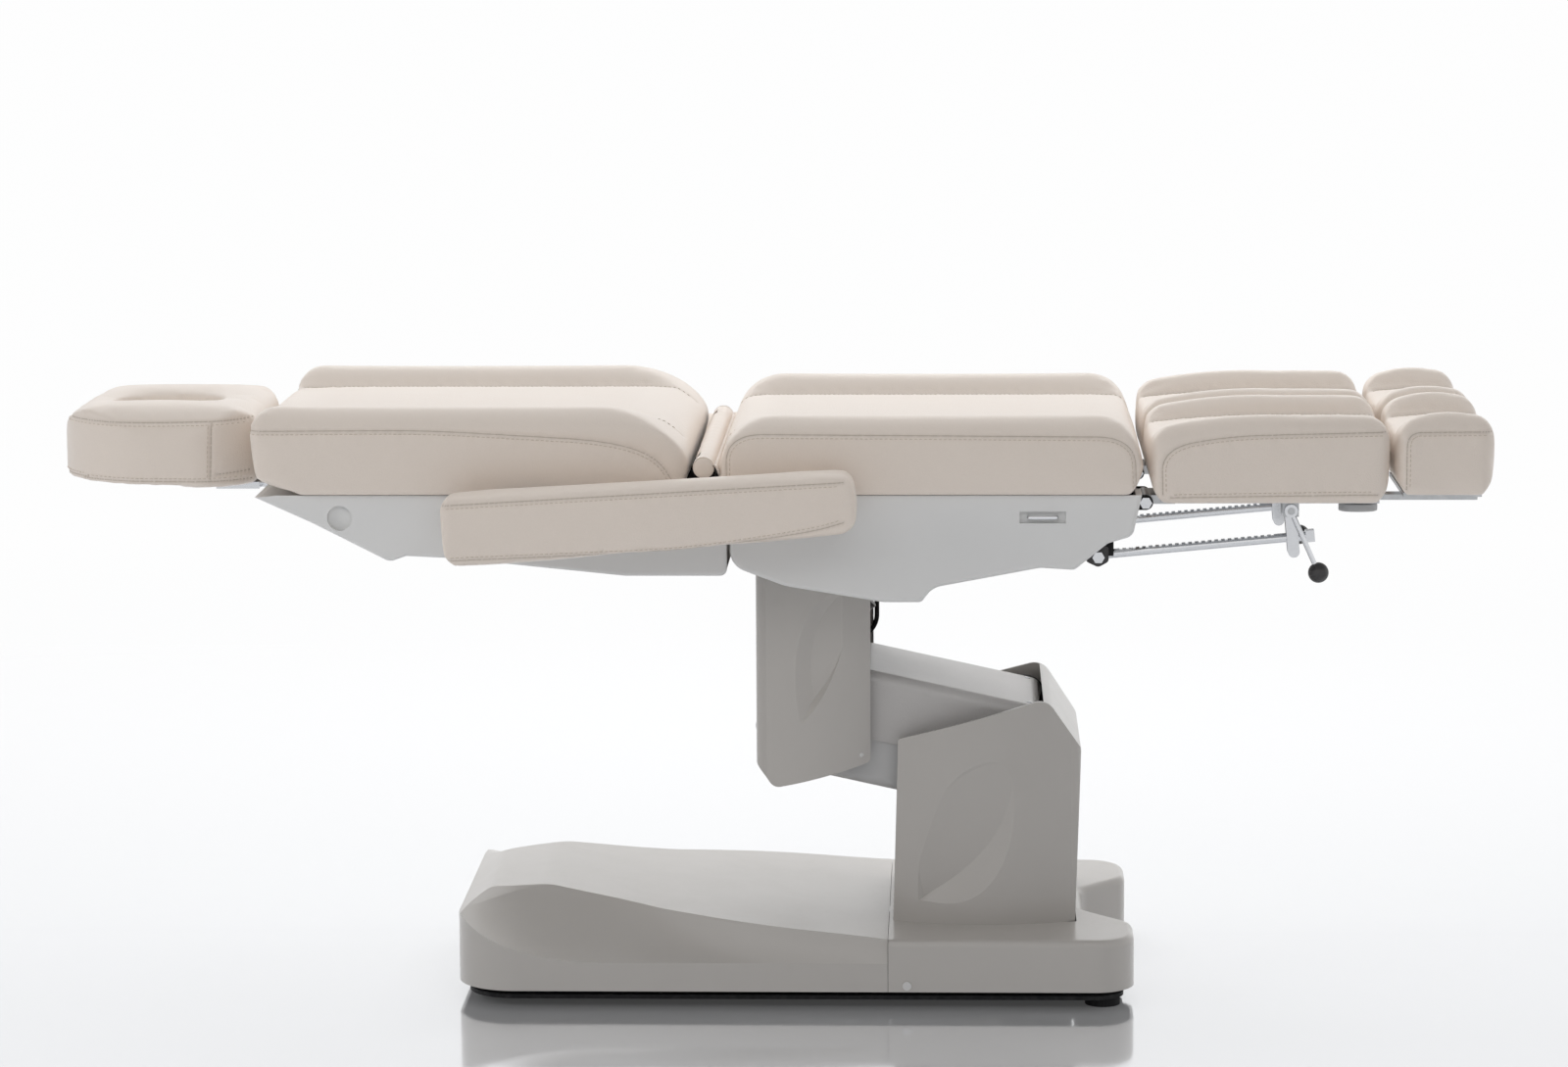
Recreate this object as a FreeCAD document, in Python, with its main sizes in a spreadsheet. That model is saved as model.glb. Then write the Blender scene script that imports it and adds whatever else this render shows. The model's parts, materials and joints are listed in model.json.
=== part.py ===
import FreeCAD, Part
import math
import os
import re

import Sketcher
from FreeCAD import Placement, Rotation, Vector

# Pedicure chair with an electric lift, tilt and backrest.
# Millimetres. +X runs to the foot end, -X to the head end, +Z is up.
# The origin is on the floor, below the middle of the chair.
# Pieces are drawn in the flat position: every joint is at zero.

# Driving sizes: name, value, what it is.
SIZES = [
    # lengths along the bed, from the head end to the foot end
    ("head_length", 284, "headrest"),
    ("head_gap", 4, "between headrest and backrest"),
    ("back_length", 600, "backrest cushion"),
    ("joint_gap", 31, "between backrest and seat cushions"),
    ("seat_length", 578, "seat cushion"),
    ("leg_gap", 4, "between seat and leg cushions"),
    ("leg_length", 322, "leg cushion"),
    ("foot_gap", 4, "between leg and foot cushions"),
    ("foot_length", 135, "foot cushion"),
    # cushions
    ("bed_width", 580, "seat, backrest and pair of legs"),
    ("bed_height", 714, "underside of the seat and backrest cushions"),
    ("seat_thick", 108, "seat cushion to the top of its bolsters"),
    ("back_thick", 120, "backrest cushion to the top of its bolsters"),
    ("head_width", 350, "headrest"),
    ("head_thick", 112, "headrest"),
    ("head_drop", 6, "headrest underside below the bed underside"),
    ("face_hole_length", 150, "opening for the face, along the bed"),
    ("face_hole_width", 84, "opening for the face, across the bed"),
    ("leg_split", 12, "gap between the two leg cushions"),
    ("leg_thick", 122, "leg cushion to the top of its bolsters"),
    ("leg_drop", 11, "leg underside below the bed underside"),
    ("foot_thick", 113, "foot cushion to the top of its bolsters"),
    ("bolster_width", 104, "raised side of the seat and backrest"),
    ("bolster_rise", 28, "height of the raised sides over the middle"),
    ("leg_bolster_width", 66, "raised side of a leg or foot cushion"),
    ("crown", 5, "rise of the middle panels"),
    ("draw_in", 3, "how far the long sides are drawn in"),
    ("seam_drop", 32, "side seam below the top of the bolsters"),
    # armrests
    ("armrest_length", 556, "pad"),
    ("armrest_width", 78, "pad"),
    ("armrest_height", 98, "pad at its back end"),
    ("armrest_gap", 12, "between pad and bed"),
    ("armrest_slope", 3.4, "degrees, front end up"),
    ("armrest_forward", 210, "front end of the pad ahead of the backrest hinge"),
    ("armrest_pivot_back", 229, "cross shaft behind the backrest hinge"),
    ("armrest_pivot_drop", 52, "cross shaft below the backrest hinge"),
    ("armrest_shaft_radius", 9, "cross shaft"),
    ("crank_back", 38, "tie rod stud behind the shaft, and behind the hinge"),
    ("crank_drop", 49, "tie rod stud below the shaft, and below the hinge"),
    ("stud_radius", 6, "tie rod studs"),
    # backrest hinge and actuator
    ("hinge_rise", 38, "backrest hinge above the cushion underside"),
    ("hinge_radius", 7, "hinge rod"),
    ("flap_radius", 14.5, "outside of the strip over the hinge"),
    ("flap_thick", 3, "strip over the hinge"),
    ("back_crank", 109, "hinge to either end of the backrest actuator"),
    ("back_drive_low", 66.5, "degrees below the horizontal, seat end"),
    ("back_drive_high", 40, "degrees below the horizontal, backrest end"),
    ("back_drive_side", 190, "actuator to the middle plane"),
    ("back_drive_radius", 7, "pins of the backrest actuator"),
    # seat and backrest frames and covers
    ("cover_width", 540, "plastic covers under the cushions"),
    ("cover_wall", 4, "plastic covers"),
    ("cover_gap", 1, "cover edge below the cushion"),
    ("seat_cover_depth", 147, "lowest point below the cushion"),
    ("back_cover_depth", 111, "hinge end below the cushion"),
    ("cover_step", 3, "gap between the two covers"),
    ("cover_overlap", 30, "backrest cover past the hinge line"),
    ("rail_width", 25, "frame rails"),
    ("seat_rail_height", 58, "seat rails"),
    ("back_rail_height", 44, "backrest rails"),
    ("rail_side", 240, "outer face of the seat rails to the middle plane"),
    ("cheek_thick", 8, "hinge plates"),
    ("fit_gap", 2, "between pieces that pass each other"),
    ("run_gap", 0.05, "radial clearance of pins that turn"),
    # tilt
    ("tilt_x", 39.5, "tilt shaft"),
    ("tilt_drop", 36, "tilt shaft below the cushion underside"),
    ("tilt_radius", 14, "tilt shaft"),
    ("tilt_tube_radius", 22, "bearing tube of the tilt shaft"),
    ("tilt_crank", 180, "tilt shaft to either end of the tilt actuator"),
    ("tilt_drive_angle", 12, "degrees below the horizontal, seat end"),
    ("tilt_post_radius", 9, "tube at the post end of the tilt actuator"),
    ("tilt_seat_radius", 8, "pin at the seat end of the tilt actuator"),
    # lift
    ("lift_x", 358, "fixed upper lift pin"),
    ("lift_z", 363, "fixed upper lift pin"),
    ("link_length", 302, "between the pins of a link"),
    ("lift_angle", 12.4, "degrees, link above the horizontal"),
    ("link_spacing", 90, "upper link over lower link"),
    ("link_width", 44, "links"),
    ("link_thick", 8, "link plates"),
    ("link_inset", 17, "outer face of the link plates inside the sides of their covers"),
    ("pin_radius", 12, "lift pins"),
    ("lift_crank", 190, "upper pin to either end of the lift actuator"),
    ("lift_drive_angle", 85, "degrees below the horizontal, base end"),
    ("lift_base_radius", 10, "tube at the base end of the lift actuator"),
    ("link_tube_radius", 14, "tube of the upper link, at the arm end of the lift actuator"),
    ("post_thick", 8, "post plates"),
    ("arm_width", 244, "plastic covers on the links"),
    ("arm_top", 35, "top of the covers above the upper pins"),
    ("arm_bottom", 123, "bottom of the covers below the upper pins"),
    ("arm_seam", 58, "joint of the covers below the upper pins"),
    # columns
    ("column_room", 18, "column edges outside the sides of the arm covers"),
    ("column_bulge", 24, "rise of a column side at its middle"),
    ("column_edge", 14, "rounding of the columns' closed edges"),
    ("lower_front", 184, "front edge of the lower column before the lift pin"),
    ("lower_back", 76, "back of the lower column behind the lift pin"),
    ("lower_top", 409, "top of the lower column"),
    ("upper_back", 78, "closed side of the upper column from its pins"),
    ("upper_front", 80, "open side of the upper column from its pins"),
    ("upper_bottom", 287, "lowest point of the upper column"),
    ("upper_top_drop", 74, "top of the upper column below the cushion underside"),
    ("relief", 9, "depth of the leaf shaped recesses"),
    ("cable_radius", 3.4, "cable beside the upper column"),
    # base
    ("base_front", 426, "head end of the base from the middle"),
    ("base_rear", 505, "foot end of the base from the middle"),
    ("base_width", 520, "base covers"),
    ("base_seam", 168, "joint of the two base covers"),
    ("skirt_gap", 26, "covers above the floor"),
    ("side_height", 66, "upright side of the front cover"),
    ("hump_height", 147, "highest point of the front cover"),
    ("head_height", 110, "front cover at its head end"),
    ("base_top", 98, "flat top of the covers"),
    ("edge_round", 10, "top edge of the rear cover"),
    ("base_corner", 80, "front corners"),
    ("lobe_corner", 55, "rear corners"),
    ("frame_bottom", 12, "floor plate above the floor"),
    ("plate_thick", 6, "floor plate"),
    ("frame_inset", 14, "floor plate inside the covers"),
    ("foot_radius", 24, "rubber feet"),
    # legs
    ("leg_pin_drop", 22, "leg hinge below the cushion underside"),
    ("leg_pin_radius", 5, "leg hinge and strut bolts"),
    ("knuckle_radius", 10, "leg hinge knuckles"),
    ("strut_back", 63, "strut bolt behind the leg hinge"),
    ("strut_drop", 78.5, "strut bolt below the leg hinge"),
    ("strut_radius", 6.5, "strut"),
    ("strut_length", 292, "strut"),
    ("strut_angle", 5.3, "degrees, far end up"),
    ("notch_pitch", 9, "strut notches"),
    ("hanger_ahead", 198, "hanger pin ahead of the leg hinge"),
    ("hanger_drop", 14, "hanger pin below the leg hinge"),
    ("hanger_reach", 59, "hanger pin to the bolt below the strut"),
    ("lever_length", 93, "lever pin to the middle of its knob"),
    ("lever_angle", 24, "degrees from straight down"),
    ("lever_radius", 3.5, "lever rod"),
    ("ball_radius", 14, "ball knob"),
    ("slide_width", 30, "sliding bar of the foot pad"),
    ("slide_thick", 7.5, "sliding bar of the foot pad"),
    ("leg_plate_thick", 3, "plate under a leg cushion"),
    ("knob_length", 53, "oval knob"),
    ("knob_width", 30, "oval knob"),
    ("knob_thick", 11, "oval knob"),
    ("bar_radius", 6, "headrest bars"),
    ("bar_side", 60, "headrest bars to the middle plane"),
]

doc = FreeCAD.newDocument("PedicureChair")
sheet = doc.addObject("Spreadsheet::Sheet", "Sizes")
for row, (alias, value, note) in enumerate(SIZES, start=1):
    sheet.set(f"A{row}", note)
    sheet.set(f"B{row}", str(value))
    sheet.setAlias(f"B{row}", alias)
doc.recompute()

ALIAS_WORDS = re.compile(r"\b(" + "|".join(alias for alias, value, note in SIZES) + r")\b")
NODES = {}


class SheetSizes:
    """The sheet's cells as plain numbers, by alias."""

    def __getattr__(self, alias):
        return float(sheet.get(alias))


s = SheetSizes()


# Places that several pieces share

def along(x, z, angle, distance):
    """The point at a distance from (x, z), at an angle above +X in degrees."""
    turn = math.radians(angle)
    return x + distance * math.cos(turn), z + distance * math.sin(turn)


bed_total = (s.head_length + s.head_gap + s.back_length + s.joint_gap + s.seat_length
             + s.leg_gap + s.leg_length + s.foot_gap + s.foot_length)
head_start = -bed_total / 2
head_end = head_start + s.head_length
back_start = head_end + s.head_gap
back_end = back_start + s.back_length
seat_start = back_end + s.joint_gap
seat_end = seat_start + s.seat_length
leg_start = seat_end + s.leg_gap
leg_end = leg_start + s.leg_length
foot_start = leg_end + s.foot_gap
foot_end = foot_start + s.foot_length

half_bed = s.bed_width / 2
half_cover = s.cover_width / 2
hinge = (back_end + s.joint_gap / 2, s.bed_height + s.hinge_rise)
armrest_pivot = (hinge[0] - s.armrest_pivot_back, hinge[1] - s.armrest_pivot_drop)
tie_seat = (hinge[0] - s.crank_back, hinge[1] - s.crank_drop)
tie_arm = (armrest_pivot[0] - s.crank_back, armrest_pivot[1] - s.crank_drop)
back_drive_seat = along(*hinge, -s.back_drive_low, s.back_crank)
back_drive_back = along(*hinge, 180 + s.back_drive_high, s.back_crank)

head_low = s.bed_height - s.head_drop
bar_z = head_low - s.bar_radius - 0.5

tilt = (s.tilt_x, s.bed_height - s.tilt_drop)
tilt_drive_post = along(*tilt, -90, s.tilt_crank)
tilt_drive_seat = along(*tilt, -s.tilt_drive_angle, s.tilt_crank)

link_side = s.arm_width / 2 - s.link_inset
column_width = s.arm_width + 2 * s.column_room
upper_top = s.bed_height - s.upper_top_drop
lift = (s.lift_x, s.lift_z)
lift_low = (s.lift_x, s.lift_z - s.link_spacing)
carry = along(*lift, 180 - s.lift_angle, s.link_length)
carry_low = (carry[0], carry[1] - s.link_spacing)
lift_drive_base = along(*lift, -s.lift_drive_angle, s.lift_crank)
lift_drive_arm = along(*lift, 180 - s.lift_angle, s.lift_crank)

leg_width = (s.bed_width - s.leg_split) / 2
leg_middle = s.leg_split / 2 + leg_width / 2
leg_bottom = s.bed_height - s.leg_drop
leg_pin = (seat_end + s.leg_gap / 2, s.bed_height - s.leg_pin_drop)
strut_pin = (leg_pin[0] - s.strut_back, leg_pin[1] - s.strut_drop)
hanger_pin = (leg_pin[0] + s.hanger_ahead, leg_pin[1] - s.hanger_drop)
slide_top = leg_bottom - s.leg_plate_thick - s.fit_gap / 2
slide_bottom = slide_top - s.slide_thick
knob_middle = (leg_end - s.knob_length / 2 - 7, slide_bottom - 3 * s.fit_gap - s.knob_thick / 2)


# Document helpers

def expression(text):
    """Text with each size name turned into a reference to its cell."""
    return ALIAS_WORDS.sub(r"Sizes.\1", text)


def bind(item, **properties):
    """Ties properties of an object to the sheet."""
    for name, text in properties.items():
        item.setExpression(name, expression(text))
    return item


def block(name, length, width, height, corner):
    """A box from its lowest corner; its three sizes are tied to the sheet."""
    item = doc.addObject("Part::Box", name)
    bind(item, Length=length, Width=width, Height=height)
    item.Placement.Base = Vector(*corner)
    return item


def rod_across(name, radius, length, x, z, y_middle=0.0):
    """A cylinder along Y, centred on y_middle."""
    item = doc.addObject("Part::Cylinder", name)
    bind(item, Radius=radius, Height=length)
    doc.recompute()
    start = Vector(x, y_middle + item.Height.Value / 2, z)
    item.Placement = Placement(start, Rotation(Vector(1, 0, 0), 90))
    return item


def rod_lengthways(name, radius, length, start):
    """A cylinder that runs to +X from its start point."""
    item = doc.addObject("Part::Cylinder", name)
    bind(item, Radius=radius, Height=length)
    item.Placement = Placement(Vector(*start), Rotation(Vector(0, 1, 0), 90))
    return item


def rod_upright(name, radius, height, start):
    """A cylinder that runs to +Z from its start point."""
    item = doc.addObject("Part::Cylinder", name)
    bind(item, Radius=radius, Height=height)
    item.Placement.Base = Vector(*start)
    return item


def join(name, *items):
    """One solid from several."""
    item = doc.addObject("Part::MultiFuse", name)
    item.Shapes = list(items)
    return item


def cut(name, base, *tools):
    """The base with the tools taken away."""
    item = doc.addObject("Part::Cut", name)
    item.Base = base
    item.Tool = tools[0] if len(tools) == 1 else join(name + "_tools", *tools)
    return item


def group(name, *items):
    """Separate solids of one node."""
    item = doc.addObject("Part::Compound", name)
    item.Links = list(items)
    return item


def form(name, shape):
    """A piece whose curved shape is drawn directly."""
    item = doc.addObject("Part::Feature", name)
    item.Shape = shape
    return item


def node(label, item):
    """Names a finished piece."""
    item.Label = label
    NODES[label] = item
    return item


# Sketch helpers

def sketch_on(body, role, name):
    """A sketch on one of the body's own origin planes."""
    plane = next(part for part in body.Origin.OriginFeatures if part.Role == role)
    sketch = body.newObject("Sketcher::SketchObject", name)
    sketch.AttachmentSupport = [(plane, "")]
    sketch.MapMode = "FlatFace"
    return sketch


def fix(sketch, kind, *where_and_expression):
    """A dimension tied to the sheet."""
    *where, text = where_and_expression
    index = sketch.addConstraint(Sketcher.Constraint(kind, *where, 5.0))
    sketch.setExpression(f"Constraints[{index}]", expression(text))


def draw_polygon(sketch, corners):
    """A closed outline; each corner is a pair of expressions."""
    count = len(corners)
    first = len(sketch.Geometry)
    ring = [Vector(*along(0, 0, 360 * i / count, 30)) for i in range(count)]
    for i in range(count):
        sketch.addGeometry(Part.LineSegment(ring[i], ring[(i + 1) % count]), False)
    for i in range(count):
        sketch.addConstraint(Sketcher.Constraint("Coincident", first + i, 2, first + (i + 1) % count, 1))
    for i, (x, y) in enumerate(corners):
        fix(sketch, "DistanceX", -1, 1, first + i, 1, x)
        fix(sketch, "DistanceY", -1, 1, first + i, 1, y)


def draw_circle(sketch, x, y, radius):
    """A circle; its centre and radius are expressions."""
    index = sketch.addGeometry(Part.Circle(Vector(5, 5, 0), Vector(0, 0, 1), 5), False)
    fix(sketch, "DistanceX", -1, 1, index, 3, x)
    fix(sketch, "DistanceY", -1, 1, index, 3, y)
    fix(sketch, "Radius", index, radius)


def pad(body, sketch, name, length, symmetric=True):
    """Material raised from a sketch."""
    feature = body.newObject("PartDesign::Pad", name)
    feature.Profile = sketch
    feature.SideType = "Symmetric" if symmetric else "One side"
    bind(feature, Length=length)
    return feature


def bore(body, name, role, circles):
    """Holes right through the body; each is x, y and radius."""
    sketch = sketch_on(body, role, name + "_sketch")
    for circle in circles:
        draw_circle(sketch, *circle)
    feature = body.newObject("PartDesign::Pocket", name)
    feature.Profile = sketch
    feature.Type = "ThroughAll"
    feature.SideType = "Symmetric"
    return feature


def bar_with_eyes(name, reach, width, thick, bore_radius):
    """A flat bar in the XZ plane, along -X from its first eye to its second."""
    body = doc.addObject("PartDesign::Body", name)
    ends = sketch_on(body, "XZ_Plane", name + "_ends")
    draw_circle(ends, "0", "0", f"{width} / 2")
    pad(body, ends, name + "_first_end", thick)
    far_end = sketch_on(body, "XZ_Plane", name + "_far_end")
    draw_circle(far_end, f"-({reach})", "0", f"{width} / 2")
    middle = sketch_on(body, "XZ_Plane", name + "_middle")
    draw_polygon(middle, [("0", f"-({width}) / 2"), ("0", f"{width} / 2"),
                          (f"-({reach})", f"{width} / 2"), (f"-({reach})", f"-({width}) / 2")])
    pad(body, middle, name + "_bar", thick)
    pad(body, far_end, name + "_second_end", thick)
    bore(body, name + "_eyes", "XZ_Plane", [("0", "0", bore_radius), (f"-({reach})", "0", bore_radius)])
    return body


# Shape helpers for the curved pieces

def in_plane(x, y, plane, at):
    """A point of a drawing plane; at is the distance along the plane's normal axis."""
    return {"XY": Vector(x, y, at), "XZ": Vector(x, at, y), "YZ": Vector(at, x, y)}[plane]


def outline(points, plane, at):
    """A closed wire. A point is (x, y), (x, y, corner radius) or ("via", x, y) for an arc."""
    corners = []
    for index, point in enumerate(points):
        if point[0] == "via":
            continue
        x, y = point[0], point[1]
        radius = point[2] if len(point) > 2 else 0.0
        before, after = points[index - 1], points[(index + 1) % len(points)]
        via = (after[1], after[2]) if after[0] == "via" else None
        here = Vector(x, y, 0)
        if radius > 0:
            back = (Vector(before[0], before[1], 0) - here).normalize()
            ahead = (Vector(after[0], after[1], 0) - here).normalize()
            half = back.getAngle(ahead) / 2
            reach = radius / math.tan(half)
            middle = here + (back + ahead).normalize() * (radius / math.sin(half) - radius)
            corners.append((here + back * reach, middle, here + ahead * reach, via))
        else:
            corners.append((here, None, here, via))
    edges = []
    for index, (start, middle, end, via) in enumerate(corners):
        if middle is not None:
            edges.append(Part.Arc(*(in_plane(p.x, p.y, plane, at)
                                    for p in (start, middle, end))).toShape())
        following = corners[(index + 1) % len(corners)][0]
        first, last = (in_plane(p.x, p.y, plane, at) for p in (end, following))
        if via is not None:
            edges.append(Part.Arc(first, in_plane(*via, plane, at), last).toShape())
        elif first.distanceToPoint(last) > 1e-6:
            edges.append(Part.makeLine(first, last))
    return Part.Wire(edges)


def prism(points, plane, start, end):
    """An outline drawn at start and carried to end along the plane's normal axis."""
    face = Part.Face(outline(points, plane, start))
    return face.extrude(in_plane(0, 0, plane, end - start))


def mirrored(points):
    """The outline's points with x turned to -x, in the opposite order."""
    turned = [("via", -p[1], p[2]) if p[0] == "via" else (-p[0], *p[1:]) for p in points]
    return turned[::-1]


def drawn_in_plan(x_start, x_end, y_low, y_high, corner):
    """Plan of a cushion: cut corners and long sides that are drawn in a little."""
    middle = (x_start + x_end) / 2
    return [(x_start, y_low + corner), (x_start + corner, y_low), ("via", middle, y_low + s.draw_in),
            (x_end - corner, y_low), (x_end, y_low + corner), (x_end, y_high - corner),
            (x_end - corner, y_high), ("via", middle, y_high - s.draw_in),
            (x_start + corner, y_high), (x_start, y_high - corner)]


def bolstered_section(half_width, bottom, top, bolster, rise):
    """Cross section of a cushion: round raised sides and a crowned middle panel."""
    panel = top - rise
    right = [("via", 0, panel + s.crown), (half_width - bolster, panel),
             (half_width - bolster * 0.68, top - rise * 0.2), ("via", half_width - bolster * 0.45, top),
             (half_width - bolster * 0.2, top - rise * 0.34), (half_width, top - s.seam_drop),
             (half_width, bottom + 8), (half_width - 8, bottom)]
    left = mirrored(right)[:-1]
    return left + right


def moved_points(points, dx, dy):
    """The same outline, carried sideways."""
    return [("via", p[1] + dx, p[2] + dy) if p[0] == "via" else (p[0] + dx, p[1] + dy, *p[2:])
            for p in points]


def cushion(name, side, section, plan):
    """A cushion from its side view, its cross section and its plan."""
    low, high = s.bed_height - 100, s.bed_height + 200
    shape = prism(side, "XZ", -half_bed - 50, half_bed + 50)
    shape = shape.common(prism(section, "YZ", head_start - 50, foot_end + 50))
    shape = shape.common(prism(plan, "XY", low, high))
    return form(name, shape.Solids[0])


# Base

def base_plan(inset):
    """Plan of the base: round front and two rear lobes, drawn in by the inset."""
    front, rear, half = inset - s.base_front, s.base_rear - inset, s.base_width / 2 - inset
    corner = s.base_corner - inset
    lobe = s.lobe_corner - inset
    hollow = s.base_rear - 66 - inset
    right = [(hollow, 62, 40 + inset), (rear, 140, 40 - inset / 2), (rear, half, lobe),
             (front, half, corner)]
    left = [(front, -half, corner), (rear, -half, lobe), (rear, -140, 40 - inset / 2),
            (hollow, -62, 40 + inset)]
    return right + left


def base_top_line(drop):
    """Side view of the front cover: a hump at the head end that runs down to a flat top."""
    front, rear = -s.base_front - 20, s.base_rear + 20
    peak = s.hump_height - drop
    flat = s.base_top - drop
    return [(front, -10), (front, s.head_height - drop), (front + 60, peak - 6, 50),
            (front + 142, peak + 2, 120), (front + 300, flat + 28, 260), (s.base_seam, flat, 300),
            (rear, flat), (rear, -10)]


def scoop_section(x, ridge_in, ridge_rise, crease_rise, inset):
    """Section of a side scoop: a hollow curve from the crease on the side up past the ridge."""
    side, low = s.base_width / 2 - inset, s.side_height + crease_rise - inset
    ridge, high = side - ridge_in, s.side_height + ridge_rise - inset
    sag = 0.06 * (high - low)
    bend = ("via", (side + ridge) / 2 - sag, (low + high) / 2 - sag)
    past = 40 / math.hypot(ridge_in, high - low)
    over = (ridge - ridge_in * past, high + (high - low) * past)
    beyond = s.base_width
    return outline([(side, low), bend, (ridge, high), over, (over[0], 2 * s.hump_height),
                    (beyond, 2 * s.hump_height), (beyond, low)], "YZ", x)


def scoops(inset):
    """The hollows in the two long sides of the front cover, under the winding ridges."""
    head = -s.base_front
    sections = [scoop_section(head - 8, 60, 60, 56, inset),
                scoop_section(head + 43, 108, 65, 31, inset),
                scoop_section(head + 118, 120, 81, 8, inset),
                scoop_section(head + 218, 99, 74, 0, inset),
                scoop_section(head + 311, 60, 57, 0, inset),
                scoop_section(s.base_seam - 142, 23, 43, 0, inset),
                scoop_section(s.base_seam + 20, 2, 32, 0, inset)]
    hollow = Part.makeLoft(sections, True)
    return hollow, hollow.mirror(Vector(0, 0, 0), Vector(0, 1, 0))


def front_solid(inset, bottom):
    """Everything inside the front cover, drawn in by the inset."""
    upright = prism(base_plan(inset), "XY", bottom, 2 * s.hump_height)
    top = prism(base_top_line(inset), "XZ", -s.base_width, s.base_width)
    right, left = scoops(inset)
    return upright.common(top).cut(right).cut(left)


def rear_solid(inset, bottom):
    """Everything inside the rear cover, drawn in by the inset."""
    flat = s.base_top - inset
    upright = prism(base_plan(inset), "XY", bottom, flat)
    rim = [edge for edge in upright.Edges if edge.BoundBox.ZMin > flat - 0.1]
    return upright.makeFillet(s.edge_round - inset, rim)


def build_base():
    half_base = s.base_width / 2
    below = s.skirt_gap - 10
    front_shell = front_solid(0, s.skirt_gap).cut(front_solid(s.cover_wall, below))
    rear_shell = rear_solid(0, s.skirt_gap).cut(rear_solid(s.cover_wall, below))
    far = 2 * (s.base_front + s.base_rear)
    front_side = Part.makeBox(far, far, far, Vector(s.base_seam - far - 0.3, -far / 2, 0))
    rear_side = Part.makeBox(far, far, far, Vector(s.base_seam + 0.3, -far / 2, 0))
    inlet_hole = Part.makeBox(60, 56, 36, Vector(s.base_rear - 100, -28, 36))
    post_hole = Part.makeBox(150, 2 * 142, 60, Vector(s.lift_x - 80, -142, s.base_top - 40))
    node("front_base_cover", form("front_base_cover", front_shell.common(front_side).Solids[0]))
    rear_shell = rear_shell.common(rear_side).cut(inlet_hole).cut(post_hole)
    node("rear_base_cover", form("rear_base_cover", rear_shell.Solids[0]))

    plate_top = s.frame_bottom + s.plate_thick
    plate = form("floor_plate", prism(base_plan(s.frame_inset), "XY", s.frame_bottom, plate_top))
    rails = [block(f"base_rail_{i}", "base_front + base_rear - 200", "rail_width", "3 * plate_thick",
                   (110 - s.base_front, side * 170 - s.rail_width / 2, plate_top))
             for i, side in enumerate((-1, 1))]
    node("base_frame", join("base_frame", plate, *rails))

    spots = [(-s.base_front + 48, 125), (s.base_rear - 43, 212)]
    feet = [rod_upright(f"foot_{i}", "foot_radius", "frame_bottom", (x, side * y, 0))
            for i, (x, y, side) in enumerate((x, y, side) for x, y in spots for side in (-1, 1))]
    node("rubber_feet", group("rubber_feet", *feet))

    screws = [rod_across(f"base_screw_{i}", "6", "fit_gap", s.base_seam + 26, s.skirt_gap + 9,
                         side * (half_base + s.fit_gap / 2)) for i, side in enumerate((-1, 1))]
    node("base_screws", group("base_screws", *screws))

    box = block("control_box", "180", "120", "44", (-170, -60, plate_top))
    node("control_box", box)
    inlet = block("inlet_body", "22", "52", "32", (s.base_rear - 84, -26, 38))
    socket = block("inlet_socket", "16", "28", "20", (s.base_rear - 76, -14, 44))
    node("mains_inlet", cut("mains_inlet", inlet, socket))

    cheek_side = s.arm_width / 2 + 3 + s.post_thick
    cheek_low = plate_top + s.plate_thick
    cheeks = []
    for i, side in enumerate((-1, 1)):
        y = side * (cheek_side - s.post_thick / 2) - s.post_thick / 2
        cheeks.append(block(f"lower_cheek_{i}", "66", "post_thick", f"lift_z - {cheek_low}",
                            (s.lift_x - 33, y, cheek_low)))
        cheeks.append(rod_across(f"lower_cheek_top_{i}", "33", "post_thick", *lift,
                                 side * (cheek_side - s.post_thick / 2)))
    sole = block("post_sole", "130", f"2 * {cheek_side}", "plate_thick",
                 (s.lift_x - 60, -cheek_side, plate_top))
    back = block("post_back", "8", f"2 * {cheek_side}", "150", (s.lift_x + 33, -cheek_side, plate_top))
    drive = rod_across("lift_drive_tube", "lift_base_radius", f"2 * {cheek_side}", *lift_drive_base)
    holes = [rod_across(f"lower_post_hole_{i}", "pin_radius", "400", *place)
             for i, place in enumerate((lift, lift_low))]
    post = join("lower_post_plates", *cheeks, sole, back, drive)
    node("lower_post", cut("lower_post", post, *holes))
    pins = [rod_across(f"lift_pin_{i}", "pin_radius", f"2 * {cheek_side} + 4", *place)
            for i, place in enumerate((lift, lift_low))]
    node("lift_pins", group("lift_pins", *pins))


# Columns

def column_plan(x_open, x_closed, inset, reach=0.0):
    """Plan of a column cover: bulged sides, a closed end, and an open end carried on by the reach."""
    half = column_width / 2 - inset
    middle = (x_open + x_closed) / 2
    way = 1 if x_closed > x_open else -1
    end = x_closed - way * inset
    edge = s.column_edge - inset / 2
    corner = edge * (1 - math.sqrt(0.5))
    plan = [(x_open, -half), ("via", middle, -half - s.column_bulge), (end - way * edge, -half),
            ("via", end - way * corner, corner - half), (end, edge - half), (end, half - edge),
            ("via", end - way * corner, half - corner), (end - way * edge, half),
            ("via", middle, half + s.column_bulge), (x_open, half)]
    if reach:
        plan += [(x_open - way * reach, half), (x_open - way * reach, -half)]
    return plan


def leaf_between(outer, inner, share):
    """A leaf outline of two arcs; share 0 is the outer one, 1 the inner one, and it may go past both."""
    ends = [tuple(a + (b - a) * share for a, b in zip(p, q)) for p, q in zip(outer, inner)]
    tip, first, foot, second = ends
    return [tip, ("via", *first), foot, ("via", *second)]


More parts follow.
